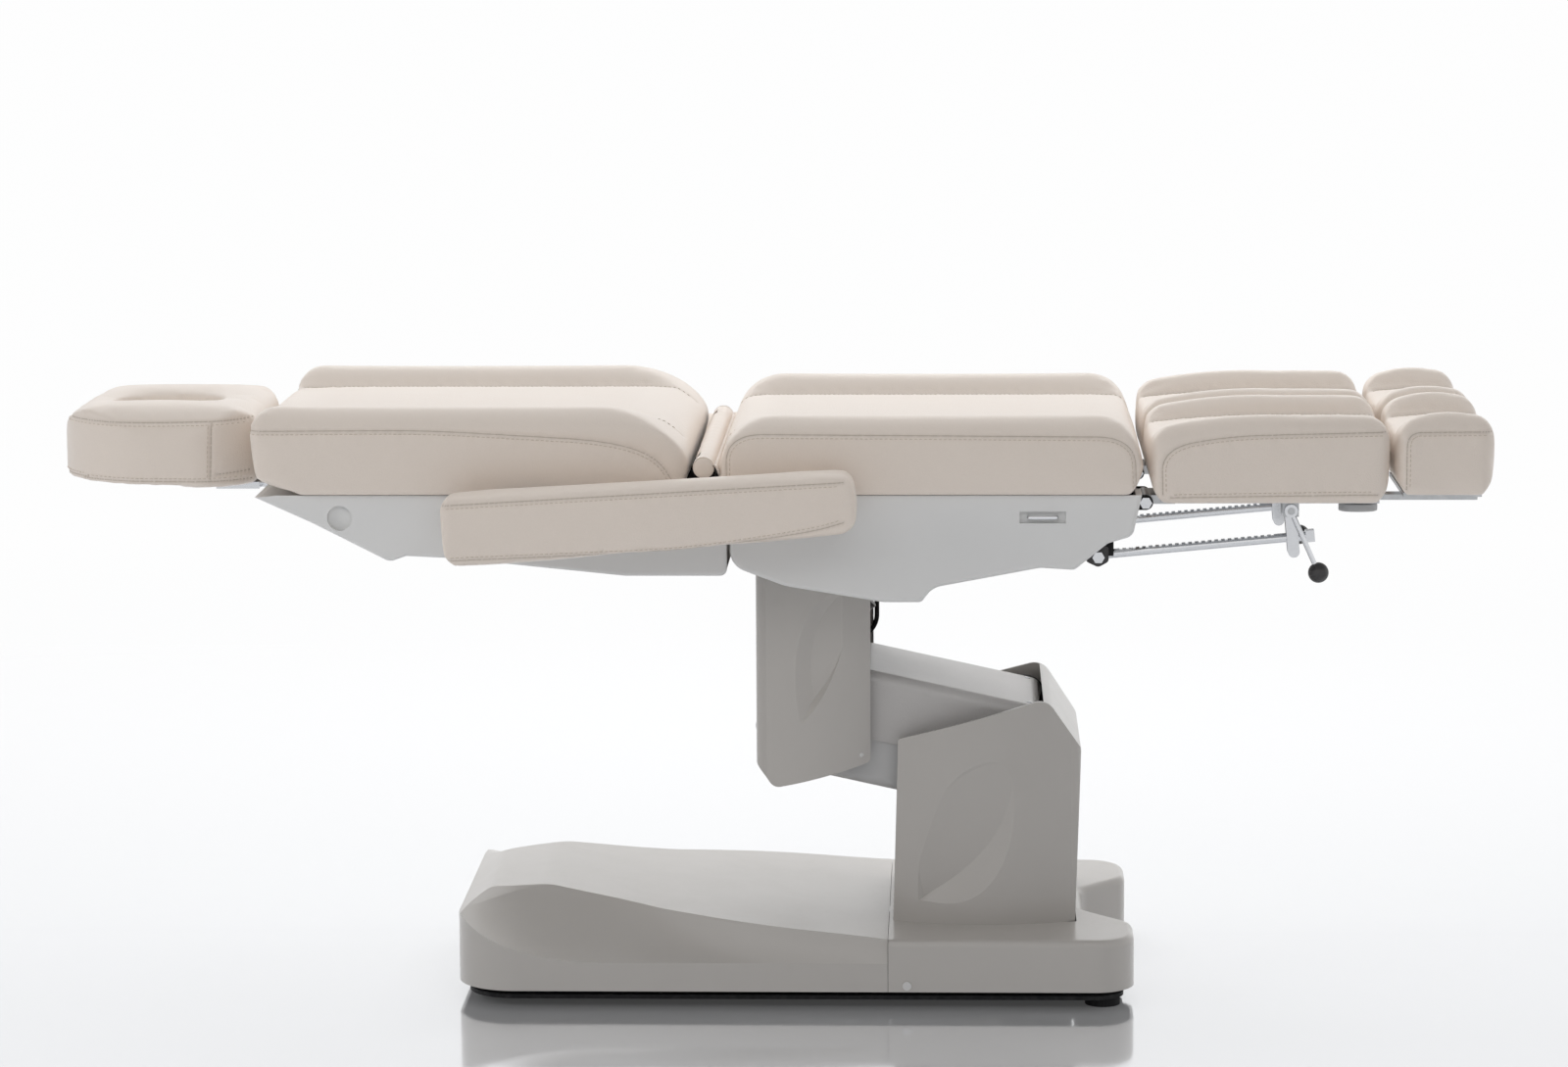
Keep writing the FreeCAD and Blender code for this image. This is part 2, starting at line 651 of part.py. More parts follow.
def leaf_cuts(outer, inner, floor):
    """Leaf shaped cuts in both column sides: sloped at the edge, ended by the floor's outline and plane."""
    surface = -column_width / 2 - s.column_bulge
    cone = Part.makeLoft([outline(leaf_between(outer, inner, share), "XZ", surface + share * s.relief)
                          for share in (-1, 2)], True, True)
    points, plane, start, end = floor
    right = cone.common(prism(points, plane, start, end))
    return right, right.mirror(Vector(0, 0, 0), Vector(0, 1, 0))


def column_shell(outer, inner, cuts):
    """A column cover with its recesses, which keep the wall behind them."""
    right, left = cuts
    behind_right = right.translated(Vector(0, s.cover_wall, 0))
    behind_left = left.translated(Vector(0, -s.cover_wall, 0))
    return outer.cut(inner.cut(behind_right).cut(behind_left)).cut(right).cut(left).Solids[0]


def build_columns():
    wall, half = s.cover_wall, column_width
    front, back = s.lift_x - s.lower_front, s.lift_x + s.lower_back
    floor, top = s.base_top, s.lower_top
    side = [(front, floor), (front + 7, top - 54, 6), (back - 49, top + 5, 24), (back, top - 68, 14),
            (back - 8, floor)]
    hollow = [(front - 50, floor - 10), (front - 50, top + 60), (back - 49 - wall, top + 60),
              (back - 49 - wall, top - wall, 20), (back - wall, top - 70 - wall, 10), (back - 8 - wall,
                                                                                       floor - 10)]
    outer = prism(column_plan(front, back, 0), "XY", 0, 700).common(prism(side, "XZ", -half, half))
    inner = prism(column_plan(front, back, wall, 60), "XY", 0,
                  700).common(prism(hollow, "XZ", -half, half))
    crest = -column_width / 2 - s.column_bulge
    bed = [(2 * crest, floor), (crest + s.relief + 9, floor), (crest, floor + 242), (2 * crest, floor + 242)]
    cuts = leaf_cuts([(front + 10, floor + 13), (front + 166, floor + 104), (front + 164, floor + 232),
                      (front + 56, floor + 190)],
                     [(front + 29, floor + 27), (front + 132, floor + 108), (front + 142, floor + 206),
                      (front + 66, floor + 160)], (bed, "YZ", front, back))
    node("lower_column_cover", form("lower_column_cover", column_shell(outer, inner, cuts)))

    closed, opened = carry[0] - s.upper_back, carry[0] + s.upper_front
    low, top = s.upper_bottom, upper_top
    side = [(closed, top), (closed, low + 32, 12), (closed + 24, low, 14), (opened, low + 36, 8),
            (opened, top)]
    hollow = [(closed + wall, top + 50), (closed + wall, low + 34, 8), (closed + 27, low + 5, 8),
              (closed + 45, low - 40), (opened + 50, low - 40), (opened + 50, top + 50)]
    outer = prism(column_plan(opened, closed, 0), "XY", 0, 700).common(prism(side, "XZ", -half, half))
    inner = prism(column_plan(opened, closed, wall, 60), "XY", 0,
                  700).common(prism(hollow, "XZ", -half, half))
    bed = [(closed, 2 * crest), (closed, crest + s.relief + 9), (opened, crest + 1), (opened, 2 * crest)]
    cuts = leaf_cuts([(closed + 130, low + 294), (closed + 44, low + 170), (closed + 56, low + 83),
                      (closed + 108, low + 160)],
                     [(closed + 130, low + 273), (closed + 74, low + 184), (closed + 81, low + 127),
                      (closed + 112, low + 180)], (bed, "XY", low, top))
    node("upper_column_cover", form("upper_column_cover", column_shell(outer, inner, cuts)))

    cheek_side = link_side - s.link_thick - 4
    plates = []
    for i, turn in enumerate((-1, 1)):
        body = doc.addObject("PartDesign::Body", f"upper_cheek_{i}")
        sketch = sketch_on(body, "XZ_Plane", f"upper_cheek_sketch_{i}")
        rise = f"bed_height - tilt_drop - {carry[1]}"
        shift = f"tilt_x - {carry[0]}"
        draw_polygon(sketch, [("-20", "-link_spacing - 17"), ("20", "-link_spacing - 17"), ("26", "40"),
                              (f"{shift} + 26", rise), (f"{shift} - 26", rise), ("-40", "40")])
        pad(body, sketch, f"upper_cheek_pad_{i}", "post_thick")
        body.Placement.Base = Vector(carry[0], turn * (cheek_side - s.post_thick / 2), carry[1])
        plates.append(body)
    web = block("upper_web", "post_thick", f"2 * {cheek_side - s.post_thick}", "90",
                (carry[0] - 36, -cheek_side + s.post_thick, carry[1] + 130))
    bearing = rod_across("tilt_bearing", "tilt_tube_radius", "2 * (rail_side - rail_width - fit_gap)",
                         *tilt)
    drive = rod_across("tilt_drive_tube", "tilt_post_radius", f"2 * {cheek_side}", *tilt_drive_post)
    holes = [rod_across("tilt_bore", "tilt_radius + run_gap", "600", *tilt)]
    holes += [rod_across(f"carry_hole_{i}", "pin_radius", "400", *place)
              for i, place in enumerate((carry, carry_low))]
    post = join("upper_post_plates", *plates, web, bearing, drive)
    node("upper_post", cut("upper_post", post, *holes))
    pins = [rod_across(f"column_pin_{i}", "pin_radius", "arm_width - 2 * link_inset + 4", *place)
            for i, place in enumerate((carry, carry_low))]
    node("column_pins", group("column_pins", *pins))

    x, y = opened + s.cable_radius + 1.5, s.arm_width / 2 + 3 * s.fit_gap + 0.5
    start, knee = Vector(x - 34, y, upper_top - 190), Vector(x, y, upper_top - 156)
    bend = knee + Vector(-34, 0, 0) + Vector(24, 0, -24)
    top = Vector(x, y, upper_top - 46)
    path = Part.Wire([Part.Arc(start, bend, knee).toShape(), Part.makeLine(knee, top)])
    ring = Part.Wire([Part.makeCircle(s.cable_radius, start, Vector(1, 0, 0))])
    node("column_cable", form("column_cable", path.makePipeShell([ring], True, False)))


# Lift arm

def build_lift():
    turn = Rotation(Vector(0, 1, 0), s.lift_angle)
    for name, place, crossing, radius in (("upper_link", lift, s.lift_crank, "link_tube_radius"),
                                          ("lower_link", lift_low, 0.75 * s.link_length, "pin_radius")):
        plates = []
        for i, side in enumerate((-1, 1)):
            plate = bar_with_eyes(f"{name}_plate_{i}", "link_length", "link_width", "link_thick",
                                  "pin_radius + run_gap")
            plate.Placement.Base = Vector(0, side * (link_side - s.link_thick / 2), 0)
            plates.append(plate)
        tube = rod_across(f"{name}_tube", radius, "arm_width - 2 * link_inset - link_thick", -crossing, 0)
        extra = []
        if name == "upper_link":
            extra = [rod_across(f"cover_boss_{i}", "6", "arm_width - 2 * cover_wall", -u, 0)
                     for i, u in enumerate((58, 252))]
        link = join(name, *plates, tube, *extra)
        link.Placement = Placement(Vector(place[0], 0, place[1]), turn)
        node(name, link)

    half, wall = s.arm_width / 2, s.cover_wall
    top, bottom, seam = s.arm_top, -s.arm_bottom, -s.arm_seam
    reach = s.link_length - 12
    side = [(22, seam), (22, top, 22), (-s.link_length + 62, top), (-reach, 8), (-reach, seam)]
    section = [(-half, seam), (-half, top, 16), (half, top, 16), (half, seam)]
    hollow = [(wall - half, seam - 9), (wall - half, top - wall, 12), (half - wall, top - wall, 12),
              (half - wall, seam - 9)]
    upper = prism(side, "XZ", -half - 5, half + 5).common(prism(section, "YZ", -400, 100))
    upper = upper.cut(prism(hollow, "YZ", -400, 100))
    pin_hole = Part.makeCylinder(s.pin_radius + s.fit_gap, 400, Vector(0, -200, 0), Vector(0, 1, 0))
    upper = upper.cut(pin_hole)
    half = half - 3
    lip = seam - 0.5
    side = [(-150, lip), (-150, bottom), (-reach, bottom, 26), (-reach, lip)]
    section = [(-half, lip), (-half, bottom, 14), (half, bottom, 14), (half, lip)]
    hollow = [(wall - half, lip + 9), (wall - half, bottom + wall, 10), (half - wall, bottom + wall, 10),
              (half - wall, lip + 9)]
    lower = prism(side, "XZ", -half - 5, half + 5).common(prism(section, "YZ", -400, 100))
    lower = lower.cut(prism(hollow, "YZ", -400, 100))
    motor_slot = Part.makeBox(45, 60, 60, Vector(-190, -30, bottom - 5))
    lower = lower.cut(motor_slot)
    for name, shape in (("arm_top_cover", upper), ("arm_bottom_cover", lower)):
        cover = form(name, shape.Solids[0])
        cover.Placement = Placement(Vector(lift[0], 0, lift[1]), turn)
        node(name, cover)


# Actuators: a motor with a tube, and a rod that runs in the tube

def build_actuator(name, motor_end, rod_end, tube_radius, tube_length, rod_length, motor_pin, rod_pin,
                   middle=0.0, can_drop=1.7, trunnion=False):
    """Both halves lie on the line between their pins; a trunnion motor hangs on a stub at its side."""
    dx, dz = rod_end[0] - motor_end[0], rod_end[1] - motor_end[1]
    angle = math.degrees(math.atan2(dz, dx))
    width = 1.7 * tube_radius
    rod_radius = 0.45 * tube_radius
    start = -3 * tube_radius if trunnion else sheet.get(motor_pin) + 4
    eye_at = tube_radius - 1.5 if trunnion else 0
    eye_wide = tube_radius * 0.6 if trunnion else width
    eye = rod_across(f"{name}_motor_eye", f"{motor_pin} + 6", str(eye_wide), 0, 0, eye_at)
    tube = rod_lengthways(f"{name}_tube", str(tube_radius), str(tube_length - start), (start, 0, 0))
    can = rod_lengthways(f"{name}_motor_can", str(tube_radius * 1.1), str(tube_length * 0.5),
                         (start + 2, 0, -can_drop * tube_radius))
    inside = rod_lengthways(f"{name}_inside", f"{rod_radius} + 0.4", str(2 * tube_length),
                            (start + 8, 0, 0))
    hole_wide = 2 * tube_radius if trunnion else 6 * tube_radius
    hole_at = hole_wide / 2 + rod_radius + 1.5 if trunnion else 0
    hole = rod_across(f"{name}_motor_hole", f"{motor_pin} + run_gap", str(hole_wide), 0, 0, hole_at)
    housing = cut(f"{name}_motor", join(f"{name}_housing", eye, tube, can), inside, hole)
    housing.Placement = Placement(Vector(motor_end[0], middle, motor_end[1]),
                                  Rotation(Vector(0, 1, 0), -angle))
    node(f"{name}_motor", housing)
    eye = rod_across(f"{name}_rod_eye", f"{rod_pin} + 6", str(width), 0, 0)
    rod = rod_lengthways(f"{name}_rod_bar", str(rod_radius), str(rod_length), (0, 0, 0))
    hole = rod_across(f"{name}_rod_hole", f"{rod_pin} + run_gap", "100", 0, 0)
    slider = cut(f"{name}_rod", join(f"{name}_slider", eye, rod), hole)
    slider.Placement = Placement(Vector(rod_end[0], middle, rod_end[1]),
                                 Rotation(Vector(0, 1, 0), 180 - angle))
    node(f"{name}_rod", slider)


def build_actuators():
    build_actuator("lift", lift_drive_base, lift_drive_arm, 20, 190, 176, "lift_base_radius",
                   "link_tube_radius",
                   can_drop=-1.7)
    build_actuator("tilt", tilt_drive_post, tilt_drive_seat, 19, 165, 134, "tilt_post_radius",
                   "tilt_seat_radius")
    build_actuator("backrest", back_drive_seat, back_drive_back, 12, 96, 124, "back_drive_radius",
                   "back_drive_radius", s.back_drive_side, can_drop=0.6, trunnion=True)


# Seat

def seat_side():
    """Side view of the seat cushion: round ends, the head end rounder at the top."""
    top, low = s.bed_height + s.seat_thick, s.bed_height
    return [(seat_start + 4, low), (seat_start, low + 34), (seat_start + 10, top - 44),
            ("via", seat_start + 34, top - 15),
            (seat_start + 82, top), (seat_end - 68, top), ("via", seat_end - 22, top - 20),
            (seat_end - 8, top - 46), (seat_end, top - 72), (seat_end - 16, low)]


def seat_cover_line(inset):
    """Side view of the seat cover: shallow at the head end, deepest over the columns."""
    top, deep = s.bed_height - s.cover_gap, s.bed_height - s.seat_cover_depth + inset
    start, end = seat_start + 18 + inset, seat_end - 6 - inset
    return [(start, top), (start, deep + 50, 30), (start + 74, deep + 22, 60), (start + 206, deep, 60),
            (start + 258, deep, 8), (start + 274, deep + 20, 30), (start + 418, deep + 47, 30),
            (start + 464, deep + 44, 10), (end - 46, deep + 80, 12), (end - 12, deep + 90, 14), (end,
                                                                                                 top)]


def build_seat():
    section = bolstered_section(half_bed, s.bed_height, s.bed_height + s.seat_thick, s.bolster_width,
                                s.bolster_rise)
    plan = drawn_in_plan(seat_start - 1, seat_end + 1, -half_bed, half_bed, 14)
    node("seat_cushion", cushion("seat_cushion", seat_side(), section, plan))

    wall = s.cover_wall
    outer = prism(seat_cover_line(0), "XZ", -half_cover, half_cover)
    edges = [edge for edge in outer.Edges
             if abs(abs(edge.CenterOfMass.y) - half_cover) < 0.01 and edge.BoundBox.ZMax < s.bed_height - 40]
    outer = outer.makeFillet(6, edges)
    inner_line = [(x, y + 30, *rest) if y > s.bed_height - 20 else (x, y, *rest)
                  for x, y, *rest in seat_cover_line(wall)]
    inner_line[:2] = [(x - 30, y) for x, y, *rest in inner_line[:2]]
    inner = prism(inner_line, "XZ", wall - half_cover, half_cover - wall)
    shell = outer.cut(inner)
    column_slot = Part.makeBox(seat_start + 600, column_width + 2 * s.column_bulge + 24, 300,
                               Vector(carry[0] + s.upper_front + 10 - seat_start - 600,
                                      -column_width / 2 - s.column_bulge - 12, s.bed_height - 300))
    drive_slot = Part.makeBox(120, 70, 300, Vector(tilt_drive_seat[0] - 90, -35, s.bed_height - 300))
    shell = shell.cut(column_slot).cut(drive_slot)
    for turn in (-1, 1):
        shell = shell.cut(Part.makeBox(60, 112, 60, Vector(seat_end - 40, turn * leg_middle - 56,
                                                           leg_pin[1] - 16)))
        shell = shell.cut(Part.makeBox(46, 50, 120, Vector(strut_pin[0] - 25, turn * leg_middle - 25,
                                                           strut_pin[1] - 20)))
        cup = Part.makeBox(70, 8, 24, Vector(seat_start + 404, turn * (half_cover - 8) - 4,
                                             s.bed_height - 43))
        shell = shell.fuse(cup)
        pocket = Part.makeBox(62, 9, 16, Vector(seat_start + 408, turn * (half_cover - 3) - 4.5,
                                                s.bed_height - 39))
        shell = shell.cut(pocket)
    node("seat_cover", form("seat_cover", shell.Solids[0]))

    loops = []
    for turn in (-1, 1):
        x, z, y = seat_start + 420, s.bed_height - 31, turn * (half_cover - 6.9)
        reach = turn * 9.5
        path = Part.Wire([Part.makeLine(Vector(x, y, z), Vector(x, y + reach * 0.6, z)),
                          Part.Arc(Vector(x, y + reach * 0.6, z), Vector(x + 1.2, y + reach * 0.88, z),
                                   Vector(x + 4, y + reach, z)).toShape(),
                          Part.makeLine(Vector(x + 4, y + reach, z), Vector(x + 34, y + reach, z)),
                          Part.Arc(Vector(x + 34, y + reach, z), Vector(x + 36.8, y + reach * 0.88, z),
                                   Vector(x + 38, y + reach * 0.6, z)).toShape(),
                          Part.makeLine(Vector(x + 38, y + reach * 0.6, z), Vector(x + 38, y, z))])
        ring = Part.Wire([Part.makeCircle(2.4, Vector(x, y, z), Vector(0, 1, 0))])
        loops.append(form(f"side_loop_{turn}", path.makePipeShell([ring], True, False)))
    node("side_loops", group("side_loops", *loops))
    build_seat_frame()


def build_seat_frame():
    rail_low = s.bed_height - s.seat_rail_height
    rail_start, cross_front = seat_start + 20, seat_end - 54
    inner = s.rail_side - s.rail_width
    parts = []
    for i, turn in enumerate((-1, 1)):
        y = turn * (s.rail_side - s.rail_width / 2) - s.rail_width / 2
        parts.append(block(f"seat_rail_{i}", f"{cross_front - rail_start + 8}", "rail_width",
                           "seat_rail_height",
                           (rail_start, y, rail_low)))
        cheek_y = turn * (s.rail_side + s.cheek_thick / 2)
        cheek = doc.addObject("PartDesign::Body", f"seat_cheek_{i}")
        sketch = sketch_on(cheek, "XZ_Plane", f"seat_cheek_sketch_{i}")
        draw_polygon(sketch, [("13", "0"), ("13", "-hinge_rise - 6"), ("95", "-hinge_rise - 8"),
                              ("95", "-90"),
                              ("30", "-90"), ("-crank_back - 4", "-crank_drop - 9"), ("-crank_back - 9",
                                                                                      "-crank_drop"),
                              ("-crank_back - 4", "-crank_drop + 9"), ("-13", "-crank_drop + 9"), ("-13",
                                                                                                   "0")])
        pad(cheek, sketch, f"seat_cheek_pad_{i}", "cheek_thick")
        cheek.Placement.Base = Vector(hinge[0], cheek_y, hinge[1])
        parts.append(cheek)
        parts.append(rod_across(f"seat_cheek_top_{i}", "flap_radius - flap_thick", "cheek_thick", *hinge,
                                cheek_y))
    parts.append(rod_across("tie_seat_stud", "stud_radius", "18", *tie_seat,
                            -(s.rail_side + s.cheek_thick + 2)))
    parts.append(block("seat_front_tube", "28", f"2 * {inner} + 2", "38",
                       (cross_front, -inner - 1, s.bed_height - 38)))
    tube_x = tilt_drive_seat[0] - 14
    parts.append(block("seat_middle_tube", "28", f"2 * {inner} + 2", "30",
                       (tube_x, -inner - 1, s.bed_height - 30)))
    for i, turn in enumerate((-1, 1)):
        parts.append(block(f"tilt_lug_{i}", "28", "7", f"{s.bed_height - 30 - tilt_drive_seat[1]} + 12",
                           (tube_x, turn * 24 - 3.5, tilt_drive_seat[1] - 11)))
    parts.append(rod_across("tilt_drive_pin", "tilt_seat_radius", "52", *tilt_drive_seat))
    gusset_low = back_drive_seat[1] - 14
    parts.append(block("back_drive_gusset", "46", "6", f"{rail_low - gusset_low} + 30",
                       (rail_start, inner - 6, gusset_low)))
    stub_start = s.back_drive_side + 8.5
    parts.append(rod_across("back_drive_pin", "back_drive_radius", f"{inner - stub_start}",
                            *back_drive_seat,
                            (inner + stub_start) / 2))
    bores = [rod_across("seat_tilt_hole", "tilt_radius", "700", *tilt)]
    bores.append(rod_across("seat_hinge_hole", "hinge_radius", "700", *hinge))
    for i, turn in enumerate((-1, 1)):
        for j, offset in enumerate((-42, 42)):
            y = turn * leg_middle + offset
            parts.append(block(f"leg_lug_{i}{j}", f"{leg_pin[0] - cross_front - 14}", "8",
                               "2 * knuckle_radius",
                               (cross_front + 14, y - 4, leg_pin[1] - s.knuckle_radius)))
            parts.append(rod_across(f"leg_lug_end_{i}{j}", "knuckle_radius", "8", *leg_pin, y))
        for j, offset in enumerate((-9, 9)):
            y = turn * leg_middle + offset
            parts.append(block(f"strut_lug_{i}{j}", "30", "4", f"{s.bed_height - 30 - strut_pin[1]}",
                               (strut_pin[0] - 9, y - 2, strut_pin[1])))
            parts.append(rod_across(f"strut_lug_end_{i}{j}", "9", "4", *strut_pin, y))
        bores.append(rod_across(f"leg_lug_hole_{i}", "leg_pin_radius", "120", *leg_pin,
                                turn * leg_middle))
        bores.append(rod_across(f"strut_lug_hole_{i}", "leg_pin_radius", "60", *strut_pin,
                                turn * leg_middle))
    parts.append(block("strut_rail", f"{cross_front - strut_pin[0] + 12}", f"2 * {inner} + 2", "8",
                       (strut_pin[0] - 9, -inner - 1, s.bed_height - 38)))
    node("seat_frame", cut("seat_frame", join("seat_frame_parts", *parts), *bores))
    node("tilt_shaft", rod_across("tilt_shaft", "tilt_radius", "2 * rail_side", *tilt))
    node("hinge_rod", rod_across("hinge_rod", "hinge_radius", "2 * (rail_side + cheek_thick + 3)",
                                 *hinge))

    angle = 62
    ring = []
    for radius in (s.flap_radius, s.flap_radius - s.flap_thick):
        ring.append([along(*hinge, turn, radius) for turn in (angle, 90, 180 - angle)])
    strip = [ring[0][0], ("via", *ring[0][1]), ring[0][2], ring[1][2], ("via", *ring[1][1]), ring[1][0]]
    node("gap_flap", form("gap_flap", prism(strip, "XZ", 8 - half_bed, half_bed - 8)))

    boots, bolts = [], []
    for i, turn in enumerate((-1, 1)):
        y = turn * leg_middle
        outer = [(strut_pin[0] - 17, strut_pin[1] + 12, 4), (strut_pin[0] + 2, strut_pin[1] + 17, 4),
                 (strut_pin[0] + 14, strut_pin[1] + 14, 5), (strut_pin[0] + 14, strut_pin[1] - 6, 6),
                 (strut_pin[0], strut_pin[1] - 14, 8), (strut_pin[0] - 17, strut_pin[1] - 6, 6)]
        boot = prism(outer, "XZ", y - 22, y + 22)
        slot = Part.makeBox(60, 22, 80, Vector(strut_pin[0] - 12, y - 11, strut_pin[1] - 40))
        hole = Part.makeCylinder(s.leg_pin_radius, 60, Vector(strut_pin[0], y - 30, strut_pin[1]),
                                 Vector(0, 1, 0))
        boots.append(form(f"strut_boot_{i}", boot.cut(slot).cut(hole)))
        for name, place, reach in (("leg", leg_pin, 46), ("strut", strut_pin, 22)):
            shank = rod_across(f"{name}_bolt_{i}", "leg_pin_radius", f"{2 * reach}", *place, y)
            heads = []
            for j, end in enumerate((-1, 1)):
                head = doc.addObject("Part::Prism", f"{name}_bolt_head_{i}{j}")
                head.Polygon = 6
                bind(head, Circumradius="leg_pin_radius * 1.7", Height="5")
                edge = y + end * reach + (5 if end > 0 else 0)
                head.Placement = Placement(Vector(place[0], edge, place[1]),
                                           Rotation(Vector(1, 0, 0), 90))
                heads.append(head)
            bolts.append(join(f"{name}_bolt_whole_{i}", shank, *heads))
    node("strut_boots", group("strut_boots", *boots))
    node("leg_bolts", group("leg_bolts", *bolts))


# Backrest

def back_side():
    """Side view of the backrest cushion: its lower end is rounded so that it clears the seat."""
    top, low = s.bed_height + s.back_thick, s.bed_height
    return [(back_start + 8, low + 20), (back_start, low + 84), ("via", back_start + 8, top - 14),
            (back_start + 40, top), (back_end - 138, top), ("via", back_end - 50, top - 22),
            (back_end - 8, top - 58), (back_end, low + 42), (back_end - 14, low), (back_start + 66, low)]


def back_cover_line(inset):
    """Side view of the backrest cover: deep at the hinge, drawn up to the head end."""
    top, deep = s.bed_height - s.cover_gap, s.bed_height - s.back_cover_depth + inset
    start, end = back_start + 8 + inset, hinge[0] + s.cover_overlap
    if inset:
        top, end = top + 30, end + 30
    return [(end, top), (end, deep, 0 if inset else 10), (end - 138, deep, 60),
            (end - 372, deep + 24, 20),
            (end - 434, deep + 27, 10), (end - 456, deep + 19, 16), (end - 560, deep + 72, 60),
            (start, top - 3 if not inset else deep + 105), (start + 30, top)]


def build_backrest():
    section = bolstered_section(half_bed, s.bed_height, s.bed_height + s.back_thick, s.bolster_width,
                                s.bolster_rise)
    plan = drawn_in_plan(back_start - 1, back_end + 1, -half_bed, half_bed, 16)
    node("backrest_cushion", cushion("backrest_cushion", back_side(), section, plan))

    wall = s.cover_wall
    outer = prism(back_cover_line(0), "XZ", -half_cover, half_cover)
    edges = [edge for edge in outer.Edges
             if abs(abs(edge.CenterOfMass.y) - half_cover) < 0.01 and edge.BoundBox.ZMax < s.bed_height - 20
             and edge.BoundBox.XMax < hinge[0] + 10]
    outer = outer.makeFillet(5, edges)
    shell = outer.cut(prism(back_cover_line(wall), "XZ", wall - half_cover, half_cover - wall))
    shaft_hole = Part.makeCylinder(s.armrest_shaft_radius + s.fit_gap, 800,
                                   Vector(armrest_pivot[0], -400, armrest_pivot[1]), Vector(0, 1, 0))
    shell = shell.cut(shaft_hole)
    for turn in (-1, 1):
        bar_hole = Part.makeCylinder(s.bar_radius + s.fit_gap, 100,
                                     Vector(back_start - 20, turn * s.bar_side, bar_z), Vector(1, 0, 0))
        shell = shell.cut(bar_hole)
        dimple_x, dimple_z = back_start + 123, s.bed_height - 32
        dimple = Part.makeCylinder(17, 8, Vector(dimple_x, turn * (half_cover - 4) - 4, dimple_z),
                                   Vector(0, 1, 0))
        well = Part.makeCylinder(21, 9, Vector(dimple_x, turn * (half_cover - 9) - 4.5, dimple_z),
                                 Vector(0, 1, 0))
        shell = shell.fuse(well).cut(dimple)
    node("backrest_cover", form("backrest_cover", shell.Solids[0]))

    rail_low = s.bed_height - s.back_rail_height
    outer_side = s.rail_side - s.fit_gap
    inner = outer_side - s.rail_width
    rail_start, rail_end = back_start + 186, back_end - 12
    parts = []
    for i, turn in enumerate((-1, 1)):
        y = turn * (outer_side - s.rail_width / 2) - s.rail_width / 2
        parts.append(block(f"back_rail_{i}", f"{rail_end - rail_start}", "rail_width", "back_rail_height",
                           (rail_start, y, rail_low)))
        lug_y = turn * (outer_side - 5)
        lug = doc.addObject("PartDesign::Body", f"back_lug_{i}")
        sketch = sketch_on(lug, "XZ_Plane", f"back_lug_sketch_{i}")
        draw_polygon(sketch, [("11", "0"), ("11", "-hinge_rise - 30"), ("-joint_gap", "-hinge_rise - 36"),
                              ("-joint_gap", "-hinge_rise - 2"), ("-11", "-hinge_rise - 2"), ("-11",
                                                                                              "0")])
        pad(lug, sketch, f"back_lug_pad_{i}", "10")
        lug.Placement.Base = Vector(hinge[0], lug_y, hinge[1])
        parts.append(lug)
        parts.append(rod_across(f"back_lug_end_{i}", "11", "10", *hinge, lug_y))
    for i, x in enumerate((rail_end - 100, rail_start)):
        parts.append(block(f"back_tube_{i}", "30", f"2 * {inner} + 2", "18",
                           (x, -inner - 1, s.bed_height - 18)))
    drive_y = s.back_drive_side
    parts.append(block("back_rod_gusset", "40", "6", "40",
                       (back_drive_back[0] - 20, inner - 6, back_drive_back[1] - 12)))
    parts.append(rod_across("back_rod_pin", "back_drive_radius", f"{inner - drive_y} + 12",
                            *back_drive_back,
                            (inner + drive_y - 12) / 2))
    bores = [rod_across("back_hinge_hole", "hinge_radius + run_gap", "700", *hinge),
             rod_across("back_shaft_hole", "armrest_shaft_radius + run_gap", "700", *armrest_pivot)]
    for i, turn in enumerate((-1, 1)):
        guide = (rail_start - 60, turn * s.bar_side, bar_z)
        parts.append(rod_lengthways(f"bar_guide_{i}", "bar_radius + 3.4", "150", guide))
        bores.append(rod_lengthways(f"bar_hole_{i}", "bar_radius + run_gap", "400",
                                    (back_start - 40, *guide[1:])))
    node("backrest_frame", cut("backrest_frame", join("backrest_frame_parts", *parts), *bores))


# Headrest

